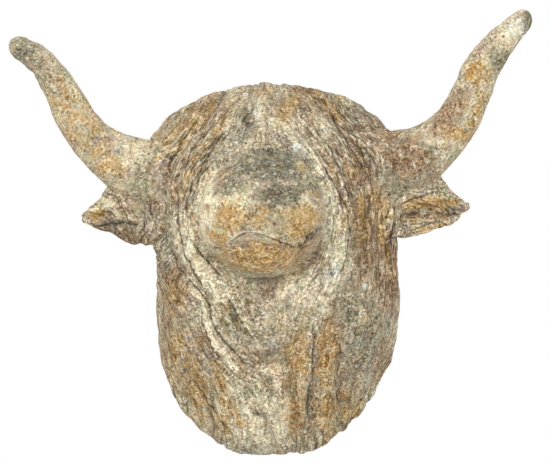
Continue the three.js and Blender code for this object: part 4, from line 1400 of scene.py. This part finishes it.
@dataclass(kw_only=True)
class StonePiece:
    """A stone piece that is fitted to the shared skin, and that the head's carving runs on over.

    It has faces of the size voxel, in millimetres, and is smoothed in some rounds first. Where kept_share is
    under 1, only that share of its triangles stays. Those that go lie in the hollow or on the hidden back,
    where more than facing_wall of the surface's direction points to the wall.
    """

    node: str
    slot: str
    voxel: float
    made: str = "carved"
    rounds: int = 4
    kept_share: float = 1.0
    facing_wall: float = 0.6

    def marks(self, carving: Carving, points: Array, normals: Array) -> Marks:
        """The carving's marks; a piece with marks of its own mixes them in here."""
        return carving.marks(points, normals)

    @staticmethod
    def dress(clay: Clay, normals: Array, hold: Array, marks: Marks) -> None:
        """Cuts marks into the piece and stores what its material reads.

        Args:
            clay: The piece, fitted to the shared skin.
            normals: The skin's normals at its points.
            hold: How firmly the skin holds each point.
            marks: The marks at its points.
        """
        a, b = clay.edges[:, 0], clay.edges[:, 1]
        length = np.linalg.norm(clay.points[a] - clay.points[b], axis=1)
        change = np.abs(marks.flow[a, 0] - marks.flow[b, 0]) / np.maximum(length, SHORTEST_EDGE)
        rate = np.zeros(len(clay.points))
        np.maximum.at(rate, a, change)
        np.maximum.at(rate, b, change)
        for _ in range(3):
            rate = clay.neighbour_mean(rate)
        clay.points += normals * (marks.height * hold)[:, None]
        low, high = (np.array(corner) / MM for corner in CAD_BOX)
        clay.points = np.clip(clay.points, low + BOX_MARGIN, high - (BOX_MARGIN, 0.0, BOX_MARGIN))
        clay.paint("flow", np.column_stack((marks.flow, np.clip(rate, *FLOW_RATES))))
        clay.paint("worked", marks.worked * hold)
        # Painted shade with some dirt, by which the material darkens the recesses.
        clay.paint("shade_and_dirt", marks.shade_and_dirt * hold)
        clay.paint("seam", marks.seam)

    def make(self, skin: SharedSkin, carving: Carving, stains: Stains, material: bpy.types.Material) -> None:
        """Carves and stains the piece.

        Args:
            skin: The surface that the stone pieces share.
            carving: The hair and the face.
            stains: The stains of all stone pieces.
            material: The stone.
        """
        clay = Clay((self.node,), f"{self.made}_{self.node}", self.voxel)
        clay.smooth(self.rounds)
        normals, hold = skin.fit(clay)
        marks = self.marks(carving, clay.points, normals)
        stains.paint(clay, hold)
        self.dress(clay, normals, hold, marks)
        if self.kept_share < 1.0:
            clay.thin(self.kept_share, carving.in_hollow(clay.points) | (normals[:, 1] > self.facing_wall))
        clay.finish(self.node, material)


@dataclass(kw_only=True)
class CarvedHead(StonePiece):
    """The head: hair, muzzle and throat in front, chisel marks behind."""

    node: str = "head"
    slot: str = "head_stone"
    voxel: float = 2.15
    kept_share: float = 0.81


@dataclass(kw_only=True)
class JointBed(StonePiece):
    """The mortar bed of a horn or an ear, tooled over flush with the stone and coloured like it."""

    slot: str = "mortar"
    voxel: float = 1.3
    made: str = "tooled"
    rounds: int = 2


@dataclass
class Spine:
    """A bent middle line with places measured along it and across it."""

    line: tuple

    def measure(self, points: Array) -> tuple[Array, Array]:
        """How far along the line points lie and how high they stand off it.

        Args:
            points: Places in millimetres.

        Returns:
            The length along the line and the height off it in the front view, positive to its upper side.
        """
        _, side, along = along_line(points[:, 0], points[:, 2], self.line)
        return along, side if self.line[0][0] < self.line[-1][0] else -side


@dataclass(kw_only=True)
class StoneHorn(StonePiece):
    """A horn with lengthwise worn grain and chips; the head's hair runs out over its root."""

    spine: Spine
    hair_reach: float
    slot: str = "horn_stone"
    voxel: float = 1.7
    middle_y: float = -70.0
    radius: float = 24.0
    grain_spacing: float = 11.0
    grain_stretch: float = 9.0
    grain_depth: float = 0.8
    wave_height: float = 0.8
    chip_depth: float = 0.6
    hair_end: float = 12.0

    def grain(self, points: Array, along: Array, off: Array) -> Marks:
        """The marks on the bare part of the horn.

        Args:
            points: Places in millimetres.
            along: Lengths along the horn.
            off: Heights off its middle line.

        Returns:
            The marks.
        """
        around = np.arctan2(points[:, 1] - self.middle_y, off) * self.radius
        flow = np.column_stack((around + 3.0 * clouds(points, 30.0, 41), along))
        ridged = ridges(flow[:, 0], along, self.grain_stretch, self.grain_spacing, 42)
        height, pocks = weathering(points)
        chips = smoothstep(clouds(points, 16.0, 44), 0.2, 0.7)
        waves = self.wave_height * clouds(points, 24.0, 43)
        height += self.grain_depth * (ridged - 1.0) + waves - self.chip_depth * chips
        # The fourth mark is painted shade, with some dirt, in the pocks.
        return Marks(flow, height, np.full(len(along), 0.12), 0.4 * pocks, cut_lines(along, off, ()))

    def marks(self, carving: Carving, points: Array, normals: Array) -> Marks:
        """The hair over the horn's root, which gives way to the horn's grain.

        Args:
            carving: The head's carving.
            points: Places in millimetres.
            normals: Directions that the surface faces there.

        Returns:
            The marks.
        """
        along, off = self.spine.measure(points)
        edge = along + 0.25 * off + 9.0 * clouds(points, 14.0, 45)
        bare = smoothstep(edge, self.hair_reach - self.hair_end, self.hair_reach + self.hair_end)
        return carving.marks(points, normals).giving_way(self.grain(points, along, off), bare)


@dataclass(kw_only=True)
class StoneEar(StonePiece):
    """An ear with combed strokes, a flap and the shaded hollow under it."""

    spine: Spine
    flap_edge: tuple
    shade: float
    slit: float
    stroke_lean: float
    swellings: tuple
    slot: str = "ear_stone"
    voxel: float = 1.5
    rounds: int = 3
    stroke_spacing: float = 6.5
    stroke_stretch: float = 6.0
    stroke_depth: float = 1.6
    hollow_depth: float = 3.5
    hollow_fade: float = 9.0
    slit_depth: float = 1.6
    slit_width: float = 2.2
    slit_drop: float = 3.6
    root: float = 2.0
    root_end: float = 14.0

    def marks(self, carving: Carving, points: Array, normals: Array) -> Marks:
        """The hair over the ear's root, which gives way to the ear's strokes, flap and hollow.

        Args:
            carving: The head's carving.
            points: Places in millimetres.
            normals: Directions that the surface faces there.

        Returns:
            The marks.
        """
        x, z = points[:, 0], points[:, 2]
        along, off = self.spine.measure(points)
        lean = math.radians(self.stroke_lean)
        across = off * math.cos(lean) + along * math.sin(lean) + 2.0 * clouds(points, 16.0, 51)
        front = smoothstep(-normals[:, 1], 0.1, 0.4)
        edge_x, edge_z = zip(*self.flap_edge)
        below = np.interp(x, edge_x, edge_z) - z
        under = smoothstep(below, -1.0, 2.5) * front
        groove = bell(below - self.slit_drop, self.slit_width) * front
        strokes = ridges(across, along, self.stroke_stretch, self.stroke_spacing, 52)
        height, pocks = weathering(points)
        height += sum(patch.over(points) for patch in self.swellings)
        fade = np.exp(-np.maximum(below, 0.0) / self.hollow_fade)
        carved = self.stroke_depth * (strokes - 1.0) - self.hollow_depth * under * fade
        height += carved - self.slit_depth * self.slit * groove
        # Painted shade, with some dirt, in the pocks, in the hollow under the flap and in the slit under its
        # edge.
        shade_and_dirt = np.clip(0.5 * pocks + self.shade * under + 0.8 * self.slit * groove, 0.0, 1.0)
        seam = cut_lines(x, z + self.slit_drop, (Cut(1.0, self.slit, self.flap_edge),))
        own = Marks(np.column_stack((across, along)), height, np.full(len(along), 0.8), shade_and_dirt, seam)
        share = smoothstep(along + 5.0 * clouds(points, 12.0, 53), self.root, self.root_end)
        return carving.marks(points, normals).giving_way(own, share)


# Plugs and bar


@dataclass
class MortarPlug:
    """A plug of mortar with a rough, crumbling face."""

    node: str
    voxel: float = 1.6
    crumble: float = 0.8

    def make(self, material: bpy.types.Material) -> None:
        """Roughens the mortar, always inwards.

        Args:
            material: The mortar.
        """
        clay = Clay((self.node,), f"rough_{self.node}", self.voxel)
        clay.smooth(3)
        coarse, fine = clouds(clay.points, 7.0, 61), clouds(clay.points, 3.0, 62)
        clay.push(self.crumble * (0.7 * coarse + 0.3 * fine - 1.0))
        clay.finish(self.node, material)


@dataclass
class ForgedBar:
    """The hanging bar, with the flats and hollows of the hammer and of rust, in millimetres."""

    voxel: float = 1.2
    hammered: float = 0.45
    rusted: float = 0.15

    def make(self, material: bpy.types.Material) -> None:
        """Hammers the bar, always inwards.

        Args:
            material: The iron.
        """
        clay = Clay(("hanging_bar",), "forged_hanging_bar", self.voxel)
        clay.smooth(4)
        flats, pits = clouds(clay.points, 11.0, 71), clouds(clay.points, 4.0, 72)
        clay.push(self.hammered * flats + self.rusted * pits - (self.hammered + self.rusted))
        clay.finish("hanging_bar", material)


# Studio


class LampKind(Enum):
    """Which of the studio's lamps one is."""

    KEY = "key_lamp"
    FILL = "fill_lamp"
    TOP = "top_lamp"


@dataclass(frozen=True)
class Lamp:
    """A round soft lamp: its place and width in metres, and its power in watts."""

    kind: LampKind
    place: tuple
    wide: float
    power: float


@dataclass
class Studio:
    """White ground, soft lamps and a camera at the photograph's angle.

    In millimetres are what a pixel of the photograph covers, the middle of the view and the depth at which
    it is true to scale. In metres are the camera's distance and clip end, the lamps' target and the floor.
    """

    pixel: float = 1.16
    middle_x: float = -1.2
    middle_z: float = -78.3
    object_y: float = -75.0
    distance: float = 6.0
    clip_end: float = 50.0
    sensor: float = 36.0
    image_width: int = 550
    target: tuple = (0.0, -0.08, -0.1)
    floor_half: float = 3.0
    floor_z: float = -0.95
    lamps: tuple = (
        Lamp(LampKind.KEY, (-1.2, -2.3, 1.2), 2.0, 34.0),
        Lamp(LampKind.FILL, (1.7, -2.2, -0.2), 2.2, 16.0),
        Lamp(LampKind.TOP, (0.1, -0.5, 2.0), 1.8, 8.0),
    )

    def camera(self) -> None:
        """Sets up the camera, straight in front."""
        data = bpy.data.cameras.new("front_camera")
        data.sensor_width = self.sensor
        data.lens = self.sensor * self.distance / (self.image_width * self.pixel * MM)
        data.clip_end = self.clip_end
        camera = placed("front_camera", data)
        camera.location = (self.middle_x * MM, self.object_y * MM - self.distance, self.middle_z * MM)
        camera.rotation_euler = (math.pi / 2, 0.0, 0.0)
        bpy.context.scene.camera = camera

    def light(self) -> None:
        """Hangs the lamps, each aimed at the head."""
        for lamp in self.lamps:
            aim = Vector(self.target) - Vector(lamp.place)
            data = bpy.data.lights.new(lamp.kind.value, "AREA")
            data.shape = "DISK"
            data.size = lamp.wide
            data.energy = lamp.power
            hung = placed(lamp.kind.value, data)
            hung.location = lamp.place
            hung.rotation_euler = aim.to_track_quat("-Z", "Y").to_euler()

    def world(self) -> None:
        """White to the camera and in reflections, and a softer even light on the object."""
        world = bpy.data.worlds.new("studio_world")
        r = Recipe(world)
        rays = r.add("ShaderNodeLightPath").outputs
        seen = r.math("MAXIMUM", rays["Is Camera Ray"], rays["Is Glossy Ray"])
        seen = r.math("MAXIMUM", seen, rays["Is Transmission Ray"])
        soft = r.add("ShaderNodeBackground", (1.0, 0.99, 0.97, 1.0), 0.7).outputs[0]
        white = r.add("ShaderNodeBackground", (1.0, 1.0, 1.0, 1.0), 1.0).outputs[0]
        r.add("ShaderNodeOutputWorld", r.add("ShaderNodeMixShader", seen, soft, white).outputs[0])
        bpy.context.scene.world = world

    def floor(self) -> None:
        """Lays a plain pale floor well under the head."""
        shape = bmesh.new()
        bmesh.ops.create_grid(shape, x_segments=1, y_segments=1, size=self.floor_half)
        bmesh.ops.translate(shape, verts=shape.verts, vec=(0.0, 0.0, self.floor_z))
        mesh = bpy.data.meshes.new("studio_floor")
        shape.to_mesh(mesh)
        shape.free()
        r = Recipe(bpy.data.materials.new("pale_floor"))
        mesh.materials.append(r.close((0.86, 0.86, 0.85, 1.0), 0.9, r.cloud(20.0, 2.0, 0.5), 0.1))
        floor = placed("studio_floor", mesh)

    def make(self) -> None:
        """Sets up the whole studio."""
        bpy.context.scene.view_settings.view_transform = "Standard"
        self.camera()
        self.light()
        self.world()
        self.floor()


# Everything


def main() -> None:
    """Builds every piece in order."""
    logging.basicConfig(level=logging.INFO, format="%(name)s: %(message)s")
    stone = WeatheredStone("weathered_stone").make()
    mortar = LimeMortar("lime_mortar").make()
    iron = RustyIron("rusty_iron").make()

    beds = ("left_horn_bed", "right_horn_bed", "left_ear_bed", "right_ear_bed")
    carved = (
        CarvedHead(),
        StoneHorn(
            node="left_horn", hair_reach=44.0,
            spine=Spine(((-118, -12), (-143, -8), (-172, 1), (-213, 29), (-235, 60), (-253, 93), (-276, 123),
                         (-309, 144))),
        ),
        StoneHorn(
            node="right_horn", hair_reach=66.0,
            spine=Spine(((112, -1), (140, 4), (169, 13), (201, 39), (222, 73), (236, 108), (259, 141),
                         (295, 178))),
        ),
        StoneEar(
            node="left_ear", shade=0.55, slit=0.5, stroke_lean=-38.0,
            swellings=patches((-172, -92, 24, 9, 3.5)),
            spine=Spine(((-150, -66), (-190, -55), (-225, -67))),
            flap_edge=((-218, -68), (-191, -64), (-177, -63), (-161, -67), (-144, -82)),
        ),
        StoneEar(
            node="right_ear", shade=0.14, slit=0.6, stroke_lean=12.0,
            swellings=patches((206, -66, 13, 8, 4)),
            spine=Spine(((138, -58), (185, -45), (222, -50))),
            flap_edge=((139, -61), (151, -54), (179, -50), (200, -52), (216, -53)),
        ),
    )
    skin = SharedSkin(tuple(piece.node for piece in carved) + beds)
    carving, stains = Carving(), Stains()
    for piece in carved + tuple(JointBed(node=node) for node in beds):
        piece.make(skin, carving, stains, stone)
    for node in ("left_bar_plug", "right_bar_plug"):
        MortarPlug(node).make(mortar)
    ForgedBar().make(iron)
    for node in ("left_horn_rod", "right_horn_rod", "left_ear_pin", "right_ear_pin"):
        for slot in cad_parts[node].material_slots:
            slot.material = iron
        log.info("%s: rusty iron", node)

    Studio().make()


if __name__ == "__main__":
    main()
